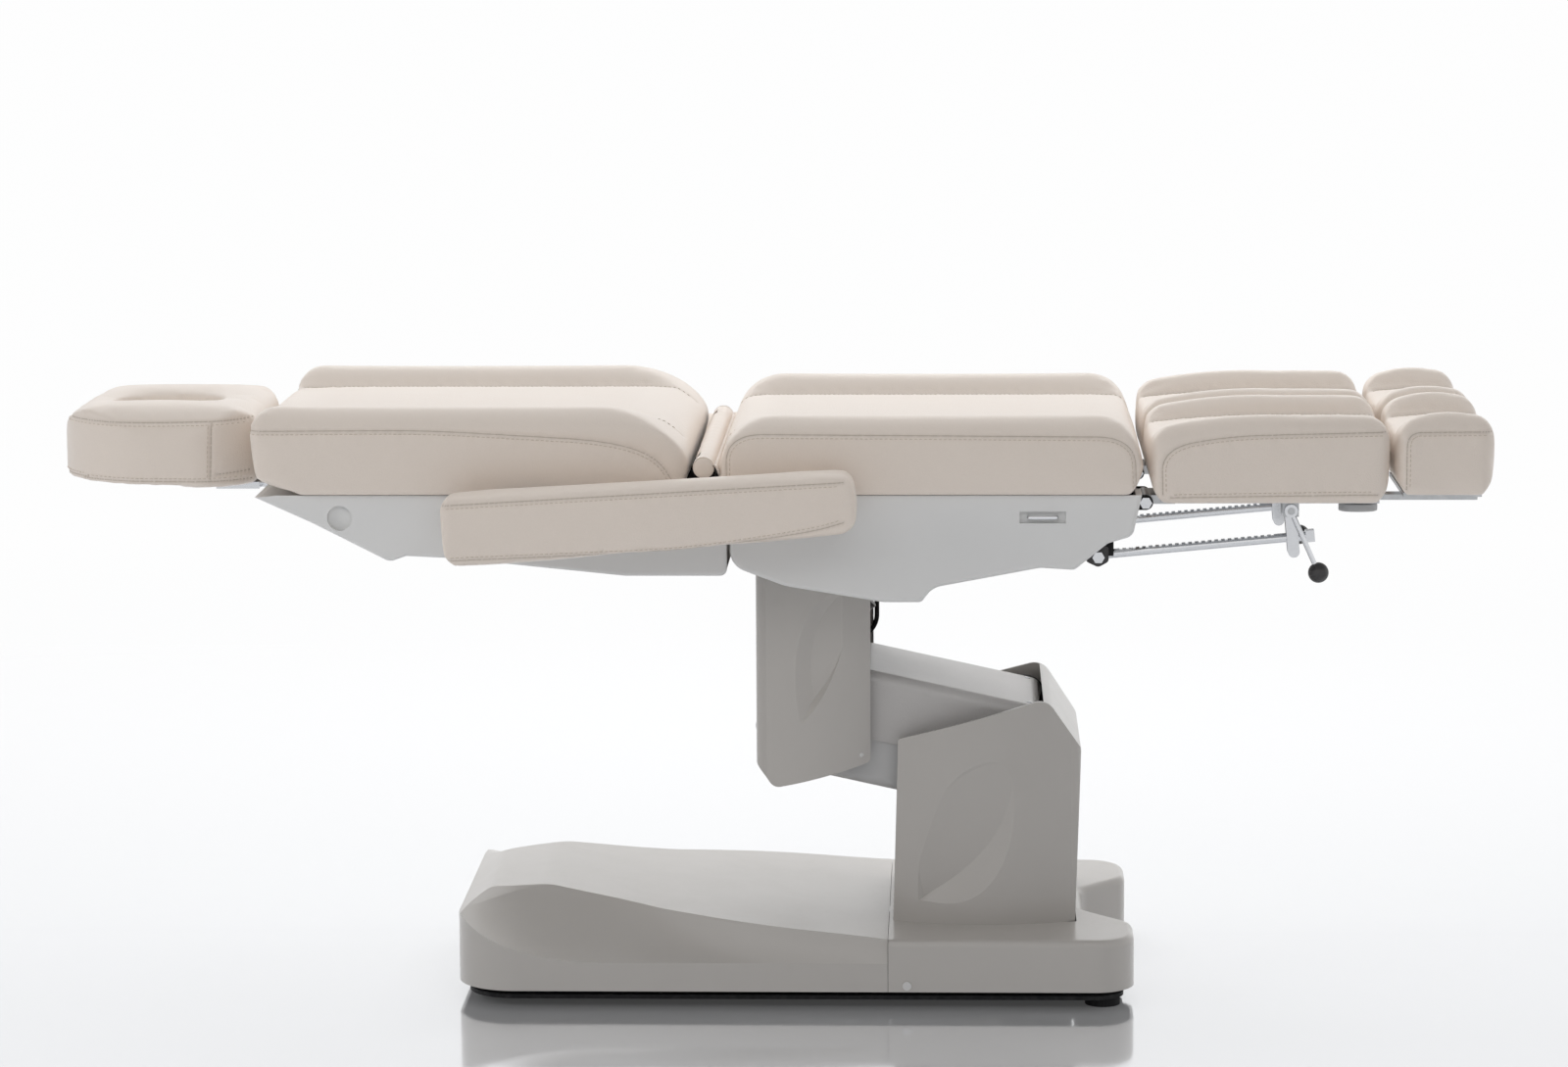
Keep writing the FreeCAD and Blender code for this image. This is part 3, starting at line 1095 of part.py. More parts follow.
def build_headrest():
    low, half = head_low, s.head_width / 2
    top = low + s.head_thick
    side = [(head_start + 4, low + 4), (head_start, low + 36), ("via", head_start + 14, top - 18),
            (head_start + 62, top - 3),
            ("via", (head_start + head_end) / 2, top), (head_end - 44, top - 3), ("via", head_end - 9,
                                                                                  top - 16),
            (head_end, top - 46), (head_end - 4, low)]
    right = [("via", 0, top + 1), (half - 60, top - 3), ("via", half - 16, top - 14), (half, top - 44),
             (half, low + 8),
             (half - 8, low)]
    section = mirrored(right)[:-1] + right
    plan = [(head_start, -half * 0.23), ("via", head_start + 13, -half * 0.55),
            (head_start + 52, -half * 0.83), ("via", head_start + 100, -half * 0.965),
            (head_start + 158, -half), (head_end - 88, -half),
            ("via", head_end - 32, -half * 0.86), (head_end, -half * 0.55)]
    plan += [(point[0], *point[1:-1], -point[-1]) for point in reversed(plan)]
    shape = prism(side, "XZ", -half - 5, half + 5).common(prism(section, "YZ", head_start - 5,
                                                                head_end + 5))
    shape = shape.common(prism(plan, "XY", low - 5, top + 5))
    middle = (head_start + head_end) / 2 - 4
    wide = s.face_hole_width / 2
    straight = s.face_hole_length / 2 - wide
    turns = [(straight, 270), (straight, 0), (-straight, 90), (-straight, 180)]
    hole = []
    for x, angle in turns:
        start, half_way = along(middle + x, 0, angle, wide), along(middle + x, 0, angle + 45, wide)
        hole += [start, ("via", *half_way)]
        if angle in (0, 180):
            hole.append(along(middle + x, 0, angle + 90, wide))
    shape = shape.cut(prism(hole, "XY", low - 5, top + 5))
    node("headrest_cushion", form("headrest_cushion", shape.Solids[0]))

    bars = [rod_lengthways(f"head_bar_{i}", "bar_radius", "300",
                           (head_end - 62, turn * s.bar_side, bar_z))
            for i, turn in enumerate((-1, 1))]
    plate = block("head_plate", "60", "head_width - 150", f"{low - bar_z + 3}",
                  (head_end - 66, 75 - half, bar_z - 3))
    node("headrest_bars", join("headrest_bars", plate, *bars))


# Armrests

def build_armrests():
    inside = half_bed + s.armrest_gap
    front = hinge[0] + s.armrest_forward
    back = front - s.armrest_length
    middle_z = armrest_pivot[1] - 16
    half = s.armrest_height / 2
    length, tip = s.armrest_length, 20
    side = [(0, -half + 26), ("via", 6, -half + 7), (28, -half), (length - 32, -half + 13),
            ("via", length - 9, -half + 20),
            (length, -half + 38), (length - 2, half - 24), ("via", length - 9, half - 6), (length - 32,
                                                                                           half),
            (tip, half), ("via", 5, half - 5), (0, half - 20)]
    width = s.armrest_width
    section = [(0, -half), (0, half - 16), ("via", 6, half - 4), (20, half),
               ("via", width / 2, half + 3), (width - 20, half),
               ("via", width - 6, half - 4), (width, half - 16), ("via", width + 2, 0), (width,
                                                                                         -half + 16),
               ("via", width - 5, -half + 4), (width - 18, -half), (8, -half)]
    pad_shape = prism(side, "XZ", -5, width + 5).common(prism(section, "YZ", -5, length + 5)).Solids[0]
    slope = Rotation(Vector(0, 1, 0), -s.armrest_slope)
    for label, turn in (("armrest_right", -1), ("armrest_left", 1)):
        shape = pad_shape if turn > 0 else pad_shape.mirror(Vector(0, 0, 0), Vector(0, 1, 0))
        item = form(label, shape)
        rise = math.tan(math.radians(s.armrest_slope)) * (armrest_pivot[0] - back)
        item.Placement = Placement(Vector(back, turn * inside, middle_z - rise), slope)
        node(label, item)

    plate_thick = 6
    crank_side = s.rail_side + 4
    parts = [rod_across("armrest_rod", "armrest_shaft_radius", f"2 * {inside}", *armrest_pivot)]
    for i, turn in enumerate((-1, 1)):
        parts.append(block(f"armrest_plate_{i}", "150", f"{plate_thick}", "36",
                           (armrest_pivot[0] - 50, turn * (inside - plate_thick / 2) - plate_thick / 2,
                            armrest_pivot[1] - 18)))
    crank = bar_with_eyes("armrest_crank", f"{math.hypot(s.crank_back, s.crank_drop)}", "20", "6", "2")
    tilt_down = math.degrees(math.atan2(s.crank_drop, s.crank_back))
    crank.Placement = Placement(Vector(armrest_pivot[0], -crank_side, armrest_pivot[1]),
                                Rotation(Vector(0, 1, 0), -tilt_down))
    parts.append(crank)
    parts.append(rod_across("armrest_crank_stud", "stud_radius", "20", *tie_arm, -(crank_side + 8)))
    node("armrest_shaft", join("armrest_shaft", *parts))

    dx, dz = tie_seat[0] - tie_arm[0], tie_seat[1] - tie_arm[1]
    tie = bar_with_eyes("armrest_tie", f"{math.hypot(dx, dz)}", "17", "5", "stud_radius + run_gap")
    tie.Placement = Placement(Vector(tie_seat[0], -(s.rail_side + s.cheek_thick + 5), tie_seat[1]),
                              Rotation(Vector(0, 1, 0), -math.degrees(math.atan2(dz, dx))))
    node("armrest_tie", tie)


# Legs

def leg_side(start, end, low, top, round_end):
    """Side view of a leg or foot cushion."""
    return [(start + 12, low), (start, low + 20), (start, top - 34), ("via", start + 9, top - 12),
            (start + 36, top - 3),
            ("via", (start + end) / 2, top), (end - round_end, top - 3), ("via", end - round_end * 0.3,
                                                                          top - 12),
            (end, top - 38), (end - 2, low + 18), (end - 14, low)]


def build_leg(label, turn):
    middle = turn * leg_middle
    half = leg_width / 2
    top = leg_bottom + s.leg_thick
    section = bolstered_section(half, leg_bottom, top, s.leg_bolster_width, s.bolster_rise)
    plan = drawn_in_plan(leg_start, leg_end, middle - half, middle + half, 12)
    side = leg_side(leg_start, leg_end, leg_bottom, top, 40)
    node(f"leg_cushion_{label}", cushion(f"leg_cushion_{label}", side, moved_points(section, middle, 0),
                                         plan))
    foot_top = s.bed_height + s.foot_thick
    section = bolstered_section(half, s.bed_height, foot_top, s.leg_bolster_width, s.bolster_rise)
    plan = drawn_in_plan(foot_start, foot_end, middle - half, middle + half, 14)
    side = leg_side(foot_start, foot_end, s.bed_height, foot_top, 36)
    node(f"foot_cushion_{label}", cushion(f"foot_cushion_{label}", side,
                                          moved_points(section, middle, 0), plan))

    plate_low = leg_bottom - s.leg_plate_thick
    lug_side = s.slide_width / 2 + s.fit_gap / 2
    parts = [block(f"leg_plate_{label}", f"{leg_end - leg_start - 30}", f"{leg_width - 70}",
                   "leg_plate_thick",
                   (leg_start + 16, middle - half + 35, plate_low))]
    parts.append(rod_across(f"leg_knuckle_{label}", "knuckle_radius", "72", *leg_pin, middle))
    parts.append(block(f"leg_web_{label}", "40", "72", f"{plate_low - leg_pin[1]} + 4",
                       (leg_pin[0], middle - 36, leg_pin[1] - 3)))
    for i, end in enumerate((-1, 1)):
        y = middle + end * (lug_side + 2.5)
        parts.append(block(f"hanger_lug_{label}_{i}", "22", "5", f"{plate_low - hanger_pin[1]} + 9",
                           (hanger_pin[0] - 11, y - 2.5, hanger_pin[1] - 9)))
        guide_x = knob_middle[0] - 18
        parts.append(block(f"guide_side_{label}_{i}", "36", "5",
                           f"{plate_low - slide_bottom} + fit_gap + 3",
                           (guide_x, y - 2.5, slide_bottom - 4)))
    parts.append(block(f"guide_floor_{label}", "36", f"{2 * lug_side + 2}", "3",
                       (knob_middle[0] - 18, middle - lug_side - 1, slide_bottom - 4)))
    parts.append(rod_across(f"hanger_pin_{label}", "leg_pin_radius", f"{2 * (lug_side + 14)}",
                            *hanger_pin, middle))
    knob_hole = rod_upright(f"knob_hole_{label}", "4", "12", (knob_middle[0], middle, slide_bottom - 10))
    pin_hole = rod_across(f"leg_pin_hole_{label}", "leg_pin_radius + run_gap", "100", *leg_pin, middle)
    node(f"leg_frame_{label}", cut(f"leg_frame_{label}", join(f"leg_frame_parts_{label}", *parts),
                                   pin_hole, knob_hole))

    bar_start = hanger_pin[0] - 60
    bar = block(f"slide_bar_{label}", f"{foot_end - 12 - bar_start}", "slide_width", "slide_thick",
                (bar_start, middle - s.slide_width / 2, slide_bottom))
    riser = block(f"slide_riser_{label}", "70", "slide_width", f"{s.bed_height - slide_top - 6}",
                  (foot_end - 100, middle - s.slide_width / 2, slide_top))
    top_plate = block(f"slide_plate_{label}", "foot_length - 30", f"{leg_width - 80}", "6",
                      (foot_start + 14, middle - half + 40, s.bed_height - 6))
    node(f"foot_slide_{label}", join(f"foot_slide_{label}", bar, riser, top_plate))
    build_leg_strut(label, middle)
    build_leg_controls(label, middle, turn, lug_side)


def build_leg_strut(label, middle):
    strut = doc.addObject("PartDesign::Body", f"strut_body_{label}")
    tube = sketch_on(strut, "YZ_Plane", f"strut_tube_{label}")
    draw_circle(tube, "0", "0", "strut_radius")
    pad(strut, tube, f"strut_pad_{label}", "strut_length", symmetric=False)
    notch = sketch_on(strut, "XZ_Plane", f"strut_notch_{label}")
    draw_polygon(notch, [("30", "strut_radius - 2"), ("34", "strut_radius - 2"),
                         ("34", "strut_radius + 2"),
                         ("30", "strut_radius + 2")])
    groove = strut.newObject("PartDesign::Pocket", f"strut_groove_{label}")
    groove.Profile = notch
    groove.Type = "ThroughAll"
    groove.SideType = "Symmetric"
    doc.recompute()
    row = strut.newObject("PartDesign::LinearPattern", f"strut_notches_{label}")
    row.Originals = [groove]
    row.Direction = (next(part for part in strut.Origin.OriginFeatures if part.Role == "X_Axis"), [""])
    row.Occurrences = 24
    bind(row, Length="23 * notch_pitch")
    strut.Tip = row
    eye = rod_across(f"strut_eye_{label}", "9", "10", 0, 0)
    cap = block(f"strut_cap_{label}", "12", "16", "16", (s.strut_length - 8, -8, -8))
    hole = rod_across(f"strut_hole_{label}", "leg_pin_radius + run_gap", "40", 0, 0)
    whole = cut(f"strut_{label}", join(f"strut_whole_{label}", strut, eye, cap), hole)
    whole.Placement = Placement(Vector(strut_pin[0], middle, strut_pin[1]),
                                Rotation(Vector(0, 1, 0), -s.strut_angle))
    node(f"strut_{label}", whole)

    parts = []
    inner = s.strut_radius + 2
    for i, end in enumerate((-1, 1)):
        plate = bar_with_eyes(f"stirrup_plate_{label}_{i}", "hanger_reach", "16", "3",
                              "leg_pin_radius + run_gap")
        plate.Placement = Placement(Vector(0, end * (inner + 1.5), 0), Rotation(Vector(0, 1, 0), -90))
        parts.append(plate)
    bolt = rod_across(f"stirrup_bolt_{label}", "leg_pin_radius + run_gap", f"{2 * inner + 10}", 0,
                      -s.hanger_reach)
    tube = rod_across(f"stirrup_tube_{label}", "leg_pin_radius + 2", f"{2 * inner + 2}", 0, 0)
    hole = rod_across(f"stirrup_hole_{label}", "leg_pin_radius + run_gap", "60", 0, 0)
    stirrup = cut(f"stirrup_{label}", join(f"stirrup_whole_{label}", *parts, bolt, tube), hole)
    stirrup.Placement = Placement(Vector(hanger_pin[0], middle, hanger_pin[1]),
                                  Rotation(Vector(0, 1, 0), -s.strut_angle))
    node(f"stirrup_{label}", stirrup)


def build_leg_controls(label, middle, turn, lug_side):
    lean = Rotation(Vector(0, 1, 0), -s.lever_angle)
    lever_y = middle + turn * (lug_side + 5 + 1 + 4)
    eye = rod_across(f"lever_eye_{label}", "leg_pin_radius + 4", "8", 0, 0)
    rod = rod_upright(f"lever_rod_{label}", "lever_radius", "lever_length", (0, 0, -s.lever_length))
    hole = rod_across(f"lever_hole_{label}", "leg_pin_radius + run_gap", "40", 0, 0)
    lever = cut(f"lever_{label}", join(f"lever_whole_{label}", eye, rod), hole)
    lever.Placement = Placement(Vector(hanger_pin[0], lever_y, hanger_pin[1]), lean)
    node(f"lever_{label}", lever)

    ball = doc.addObject("Part::Sphere", f"ball_whole_{label}")
    bind(ball, Radius="ball_radius")
    socket = rod_upright(f"ball_socket_{label}", "lever_radius", "ball_radius + 10", (0, 0, 0))
    knob = cut(f"ball_knob_{label}", ball, socket)
    reach = lean.multVec(Vector(0, 0, -s.lever_length))
    knob.Placement = Placement(Vector(hanger_pin[0], lever_y, hanger_pin[1]) + reach, lean)
    node(f"ball_knob_{label}", knob)

    half, wide = s.knob_length / 2, s.knob_width / 2
    oval = [(-half, 0), ("via", -half * 0.72, wide * 0.72), (-half * 0.3, wide), ("via", 0, wide * 1.04),
            (half * 0.3, wide),
            ("via", half * 0.72, wide * 0.72), (half, 0), ("via", half * 0.72,
                                                           -wide * 0.72), (half * 0.3, -wide),
            ("via", 0, -wide * 1.04), (-half * 0.3, -wide), ("via", -half * 0.72, -wide * 0.72)]
    grip = prism(oval, "XY", -s.knob_thick / 2, s.knob_thick / 2)
    rims = [edge for edge in grip.Edges if edge.BoundBox.ZLength < 0.01]
    grip = grip.makeFillet(2.5, rims)
    stem_top = slide_bottom - knob_middle[1] - 0.3
    stem = Part.makeCylinder(3.9, stem_top, Vector(0, 0, 0))
    item = form(f"lock_knob_{label}", grip.fuse(stem))
    item.Placement.Base = Vector(knob_middle[0], middle, knob_middle[1])
    node(f"lock_knob_{label}", item)


build_base()
build_columns()
build_lift()
build_actuators()
build_seat()
build_backrest()
build_headrest()
build_armrests()
build_leg("right", -1)
build_leg("left", 1)
doc.recompute()

broken = [item.Name for item in doc.Objects if {"Invalid", "Error"} & set(item.State)]
if broken:
    raise RuntimeError(f"objects that failed to compute: {broken}")
os.makedirs("parts", exist_ok=True)
for label, item in NODES.items():
    if item.Shape.isNull() or not item.Shape.isValid():
        raise RuntimeError(f"{label} has no valid shape")
    item.Shape.exportStep(f"parts/{label}.step")
print(f"{len(NODES)} pieces")
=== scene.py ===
import json
import logging
import math
from dataclasses import dataclass, field
from enum import Enum

import bpy
import numpy as np
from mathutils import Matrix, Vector
from mathutils.bvhtree import BVHTree
from mathutils.kdtree import KDTree


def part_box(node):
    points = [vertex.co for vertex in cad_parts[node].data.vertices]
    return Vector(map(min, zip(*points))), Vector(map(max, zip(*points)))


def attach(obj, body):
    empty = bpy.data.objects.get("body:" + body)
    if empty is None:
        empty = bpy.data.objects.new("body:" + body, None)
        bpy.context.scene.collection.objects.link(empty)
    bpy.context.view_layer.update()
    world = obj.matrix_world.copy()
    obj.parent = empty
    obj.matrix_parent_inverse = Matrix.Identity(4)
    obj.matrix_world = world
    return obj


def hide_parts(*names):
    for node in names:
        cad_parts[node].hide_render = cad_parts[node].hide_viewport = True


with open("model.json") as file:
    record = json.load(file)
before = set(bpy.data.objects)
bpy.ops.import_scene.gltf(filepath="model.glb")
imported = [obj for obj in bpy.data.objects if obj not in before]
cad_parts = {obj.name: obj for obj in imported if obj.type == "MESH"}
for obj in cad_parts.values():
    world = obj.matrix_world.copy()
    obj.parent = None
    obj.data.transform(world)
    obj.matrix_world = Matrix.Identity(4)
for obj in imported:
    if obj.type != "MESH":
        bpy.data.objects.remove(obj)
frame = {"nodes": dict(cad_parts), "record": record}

# Pedicure chair in its flat position. Metres, in the model's own frame:
# +X to the foot end, -Y to the viewer, +Z up, the floor at zero.

LOG = logging.getLogger("pedicure_chair")
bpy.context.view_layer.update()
Point2 = tuple[float, float]
Point3 = tuple[float, float, float]
Color = tuple[float, float, float]


class Face(Enum):
    """The side of a cushion that a seam lies on, as its outward direction."""

    RIGHT = (0.0, -1.0, 0.0)
    LEFT = (0.0, 1.0, 0.0)
    HEAD = (-1.0, 0.0, 0.0)
    TOP = (0.0, 0.0, 1.0)

    def place(self, a: float, b: float, reach: float) -> Vector:
        """A point at plane coordinates (a, b), pushed out by a reach.

        Args:
            a: First coordinate: X on the long sides and the top, Y on the head end.
            b: Second coordinate: Y on the top, Z elsewhere.
            reach: Distance outwards along the face's direction.

        Returns:
            The point in the model's frame.
        """
        out = Vector(self.value)
        if self in (Face.RIGHT, Face.LEFT):
            return Vector((a, 0.0, b)) + out * reach
        if self is Face.HEAD:
            return Vector((0.0, a, b)) + out * reach
        return Vector((a, b, 0.0)) + out * reach


class Texture(Enum):
    """The kind of surface that a finish has."""

    PEBBLED = "pebbled_grain"
    MOULDED = "moulded_texture"
    METAL = "drawn_metal"


class Mask(Enum):
    """A trace of use that several finishes share."""

    MARKS = "handling_marks"
    WEAR = "edge_wear"
    DUST = "settled_dust"


# Shader node groups: effects that several finishes share

class NodeTree:
    """A short way to write shader nodes into a tree."""

    def __init__(self, tree: bpy.types.NodeTree) -> None:
        """Takes the tree that the nodes go into."""
        self.tree = tree

    def add(self, kind: str, **inputs: object) -> bpy.types.Node:
        """Adds a node.

        Args:
            kind: The node's type name, without the ShaderNode prefix.
            inputs: Node properties by name, and input values or links by socket name.

        Returns:
            The new node.
        """
        node = self.tree.nodes.new("ShaderNode" + kind)
        for name, value in inputs.items():
            if name.islower() and hasattr(node, name):
                setattr(node, name, value)
            else:
                self.feed(node, name.replace("_", " "), value)
        return node

    def feed(self, node: bpy.types.Node, socket: str, value: object) -> None:
        """Sets or links one input.

        Args:
            node: The node that takes the value.
            socket: The input's name, or its number as text.
            value: A plain value, or another node's output.
        """
        key = int(socket) if socket.isdigit() else socket
        if isinstance(value, bpy.types.NodeSocket):
            self.tree.links.new(value, node.inputs[key])
        else:
            node.inputs[key].default_value = value

    def place(self) -> bpy.types.NodeSocket:
        """The shaded point in the piece's own coordinates."""
        return self.add("TexCoord").outputs["Object"]

    def noise(self, place: bpy.types.NodeSocket, **inputs: object) -> bpy.types.NodeSocket:
        """Soft noise at a point, with the noise node's inputs by name."""
        return self.add("TexNoise", Vector=place, **inputs).outputs[0]

    def fill(self, kind: str, values: tuple[object, ...], **settings: object) -> bpy.types.NodeSocket:
        """Adds a node and fills its first inputs in order.

        Args:
            kind: The node's type name, without the ShaderNode prefix.
            values: Plain values or outputs.
            settings: Node properties by name.

        Returns:
            The node's first output.
        """
        node = self.add(kind, **settings)
        for k, value in enumerate(values):
            self.feed(node, str(k), value)
        return node.outputs[0]

    def calc(self, operation: str, a: object, b: object) -> bpy.types.NodeSocket:
        """One step of arithmetic, as the math node names it."""
        return self.fill("Math", (a, b), operation=operation)

    def plus(self, a: object, b: object) -> bpy.types.NodeSocket:
        """The sum of two values or outputs."""
        return self.calc("ADD", a, b)

    def times(self, a: object, b: object) -> bpy.types.NodeSocket:
        """The product of two values or outputs."""
        return self.calc("MULTIPLY", a, b)

    def spread(self, value: object, low: float, high: float, to_low: float = 0.0,
               to_high: float = 1.0) -> bpy.types.NodeSocket:
        """Maps a value from one span to another, clamped.

        Args:
            value: The value or output.
            low: Start of its span.
            high: End of its span.
            to_low: What the start becomes.
            to_high: What the end becomes.

        Returns:
            The mapped value.
        """
        node = self.add("MapRange", Value=value)
        spans = {"From Min": low, "From Max": high, "To Min": to_low, "To Max": to_high}
        for name, number in spans.items():
            node.inputs[name].default_value = number
        return node.outputs[0]

    def blend(self, amount: object, a: object, b: object) -> bpy.types.NodeSocket:
        """Mixes two colours.

        Args:
            amount: 0 for the first colour, 1 for the second.
            a: First colour or output.
            b: Second colour or output.

        Returns:
            The mixed colour.
        """
        node = self.add("Mix", data_type="RGBA")
        self.feed(node, "0", amount)
        self.feed(node, "6", a)
        self.feed(node, "7", b)
        return node.outputs[2]

    def mix(self, *parts: bpy.types.NodeSocket) -> bpy.types.NodeSocket:
        """Mixes two shaders, which follow the second one's share."""
        return self.fill("MixShader", parts)


@dataclass
class EffectLibrary:
    """Builds the shared node groups once each.

    Attributes:
        made: The groups that exist already, by name.
    """

    made: dict[str, bpy.types.NodeTree] = field(default_factory=dict)

    def get(self, effect: Texture | Mask) -> bpy.types.NodeTree:
        """A shared group, which is written when it is first asked for.

        Args:
            effect: The effect that the group gives.

        Returns:
            The group.
        """
        writers = {Texture.PEBBLED: self.pebbled, Texture.MOULDED: self.moulded, Texture.METAL: self.drawn,
                   Mask.MARKS: self.marks, Mask.WEAR: self.wear, Mask.DUST: self.dust}
        if effect.value not in self.made:
            writers[effect]()
        return self.made[effect.value]

    def mask(self, tree: NodeTree, effect: Mask, amount: float) -> bpy.types.NodeSocket:
        """A trace of use in a material's tree, at a given strength."""
        return tree.add("Group", node_tree=self.get(effect), Amount=amount).outputs["Mask"]

    def start(self, effect: Texture | Mask, value: str,
              *outputs: str) -> tuple[NodeTree, bpy.types.NodeSocket, bpy.types.Node]:
        """Opens a new group.

        Args:
            effect: The effect that the group gives.
            value: Name of its input.
            outputs: Names of its outputs.

        Returns:
            The tree to write into, its input's socket and its output node.
        """
        group = bpy.data.node_groups.new(effect.value, "ShaderNodeTree")
        group.interface.new_socket(value, in_out="INPUT", socket_type="NodeSocketFloat")
        for name in outputs:
            group.interface.new_socket(name, in_out="OUTPUT", socket_type="NodeSocketFloat")
        self.made[effect.value] = group
        entry = group.nodes.new("NodeGroupInput").outputs[value]
        return NodeTree(group), entry, group.nodes.new("NodeGroupOutput")

    def pebbled(self) -> None:
        """Coated upholstery: small rounded pebbles over slow soft creases."""
        tree, scale, end = self.start(Texture.PEBBLED, "Scale", "Height", "Tone")
        place = tree.place()
        warp = tree.add("TexNoise", Vector=place, Scale=60.0, Detail=2.0)
        shift = (warp.outputs["Color"], (0.004, 0.004, 0.004), place)
        wander = tree.fill("VectorMath", shift, operation="MULTIPLY_ADD")
        pebbles = tree.add("TexVoronoi", feature="SMOOTH_F1", Vector=wander, Scale=scale, Smoothness=0.35)
        dome = tree.spread(pebbles.outputs["Distance"], 0.0, 0.75, 1.0, 0.0)
        crease = tree.spread(tree.noise(place, Scale=34.0, Detail=4.0, Roughness=0.55), 0.3, 0.7)
        cloud = tree.noise(place, Scale=5.0, Detail=3.0)
        tree.feed(end, "Height", tree.plus(tree.times(dome, 0.7), tree.times(crease, 0.55)))
        tree.feed(end, "Tone", tree.plus(tree.times(dome, 0.35), tree.times(cloud, 0.65)))

    def moulded(self) -> None:
        """Moulded or coated surfaces: a fine spark-eroded stipple over slow waves."""
        tree, scale, end = self.start(Texture.MOULDED, "Scale", "Height", "Tone")
        place = tree.place()
        stipple = tree.noise(place, Scale=scale, Detail=3.0, Roughness=0.7)
        wave = tree.noise(place, Scale=7.0, Detail=1.0)
        tree.feed(end, "Height", tree.plus(stipple, tree.times(wave, 0.6)))
        tree.feed(end, "Tone", tree.noise(place, Scale=3.2, Detail=4.0, Roughness=0.6))

    def drawn(self) -> None:
        """Bare or plated metal: fine lines along X and soft clouds."""
        tree, scale, end = self.start(Texture.METAL, "Scale", "Height", "Tone")
        place = tree.place()
        stretch = tree.fill("VectorMath", (place, (0.06, 1.0, 1.0)), operation="MULTIPLY")
        lines = tree.noise(stretch, Scale=scale, Detail=2.0)
        cloud = tree.noise(place, Scale=22.0, Detail=3.0)
        tree.feed(end, "Height", lines)
        tree.feed(end, "Tone", tree.plus(tree.times(lines, 0.4), tree.times(cloud, 0.6)))

    def marks(self) -> None:
        """Handling marks: smears and fine scuffs."""
        tree, amount, end = self.start(Mask.MARKS, "Amount", "Mask")
        place = tree.place()
        smear = tree.noise(place, Scale=11.0, Detail=5.0, Roughness=0.65, Distortion=0.8)
        scuff = tree.noise(place, Scale=140.0, Detail=2.0)
        both = tree.times(tree.spread(smear, 0.42, 0.72), tree.spread(scuff, 0.35, 0.65, 0.4))
        tree.feed(end, "Mask", tree.times(both, amount))

    def wear(self) -> None:
        """Wear along outer edges, broken up by noise."""
        tree, amount, end = self.start(Mask.WEAR, "Amount", "Mask")
        sharp = tree.add("NewGeometry").outputs["Pointiness"]
        chips = tree.noise(tree.place(), Scale=85.0, Detail=4.0)
        broken = tree.times(tree.spread(sharp, 0.53, 0.62), tree.spread(chips, 0.4, 0.62, 0.15))
        tree.feed(end, "Mask", tree.times(broken, amount))

    def dust(self) -> None:
        """Fine dust on faces that look up."""
        tree, amount, end = self.start(Mask.DUST, "Amount", "Mask")
        split = tree.add("SeparateXYZ", Vector=tree.add("NewGeometry").outputs["Normal"])
        drift = tree.noise(tree.place(), Scale=16.0, Detail=5.0, Roughness=0.6)
        lying = tree.times(tree.spread(split.outputs["Z"], 0.55, 1.0), tree.spread(drift, 0.3, 0.75))
        tree.feed(end, "Mask", tree.times(lying, amount))


EFFECTS = EffectLibrary()
DUST_COLOR = (0.62, 0.61, 0.59, 1.0)
# How much the roughness follows the tone
ROUGHNESS_SPREAD = 0.06


